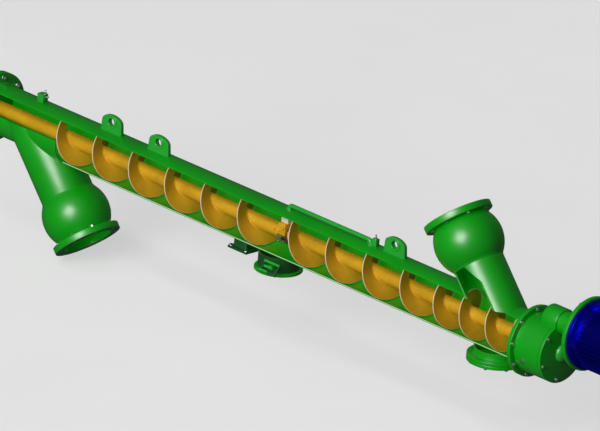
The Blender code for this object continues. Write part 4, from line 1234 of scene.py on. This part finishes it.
BACK = Vector((0.6497, -0.6748, 0.3501)).normalized()
UP = BACK.cross(Vector((0.6974, 0.7123, 0.0787))).normalized()
RIGHT = UP.cross(BACK)
VIEW_WIDTH = 3.0804
VIEW_RIGHT = -1.2127
VIEW_UP = 0.6458
LENS = 330.0
SENSOR = 15.0
camera_data = bpy.data.cameras.new("camera")
camera_data.lens = LENS
camera_data.sensor_width = SENSOR
camera_data.clip_start = 10.0
camera_data.clip_end = 500.0
camera = bpy.data.objects.new("camera", camera_data)
bpy.context.scene.collection.objects.link(camera)
pose = Matrix((RIGHT, UP, BACK)).transposed().to_4x4()
pose.translation = TUBE + VIEW_RIGHT * RIGHT + VIEW_UP * UP + VIEW_WIDTH * LENS / SENSOR * BACK
camera.matrix_world = pose
bpy.context.scene.camera = camera

# Floor

FLOOR_SIZE = 120.0
FLOOR_X = -2.0
builder = bmesh.new()
bmesh.ops.create_grid(builder, x_segments=1, y_segments=1, size=FLOOR_SIZE)
floor_mesh = bpy.data.meshes.new("floor")
builder.to_mesh(floor_mesh)
builder.free()
floor = bpy.data.objects.new("floor", floor_mesh)
floor.location = (TUBE.x + FLOOR_X, 0.0, CAD_BOX[0].z - 0.012)
bpy.context.scene.collection.objects.link(floor)
floor_material, floor_tree, floor_shader = new_material("pale_floor")
floor_stops = ((0.3, (0.40, 0.40, 0.40)), (0.7, (0.43, 0.43, 0.43)))
floor_colour = ramp(floor_tree, noise(floor_tree, 0.8), floor_stops)
floor_tree.links.new(floor_colour, floor_shader.inputs["Base Color"])
put(floor_shader, {"Roughness": 0.85, "Emission Color": (1.0, 1.0, 1.0, 1.0), "Emission Strength": 0.46})
floor_mesh.materials.append(floor_material)
floor.visible_diffuse = False
floor.visible_glossy = False


# Lights

MIDDLE = TUBE + Vector((-1.9, 0.0, 0.0))


def softbox(name, direction, distance, width, height, brightness, shadow=True, glossy=True):
    """A lamp aimed at the machine's middle; brightness is what it gives a white surface that faces it."""
    data = bpy.data.lights.new(name, "AREA")
    data.shape = "RECTANGLE"
    data.size = width
    data.size_y = height
    data.energy = brightness * (math.pi * distance) ** 2
    data.use_shadow = shadow
    light = bpy.data.objects.new(name, data)
    light.visible_glossy = glossy
    away = Vector(direction).normalized()
    side = (X - away * away.dot(X)).normalized()
    matrix = Matrix((side, away.cross(side), away)).transposed().to_4x4()
    matrix.translation = MIDDLE + away * distance
    light.matrix_world = matrix
    bpy.context.scene.collection.objects.link(light)


softbox("key", (0.21, -0.86, 0.47), 39.0, 19.5, 19.5, 0.66)
softbox("top_strip", (0.0, -0.474, 0.880), 27.0, 42.0, 4.2, 0.20, glossy=False)
softbox("front_fill", (0.02, -0.98, 0.18), 39.0, 15.0, 9.0, 0.50, shadow=False, glossy=False)
softbox("rear_fill", (-0.25, 0.92, 0.30), 39.0, 18.0, 12.0, 0.50, shadow=False, glossy=False)
world = bpy.data.worlds.new("studio")
bpy.context.scene.world = world
world.use_nodes = True
put(world.node_tree.nodes["Background"], {"Color": (0.86, 0.90, 0.95, 1.0), "Strength": 0.05})
bpy.context.scene.view_settings.view_transform = "Standard"
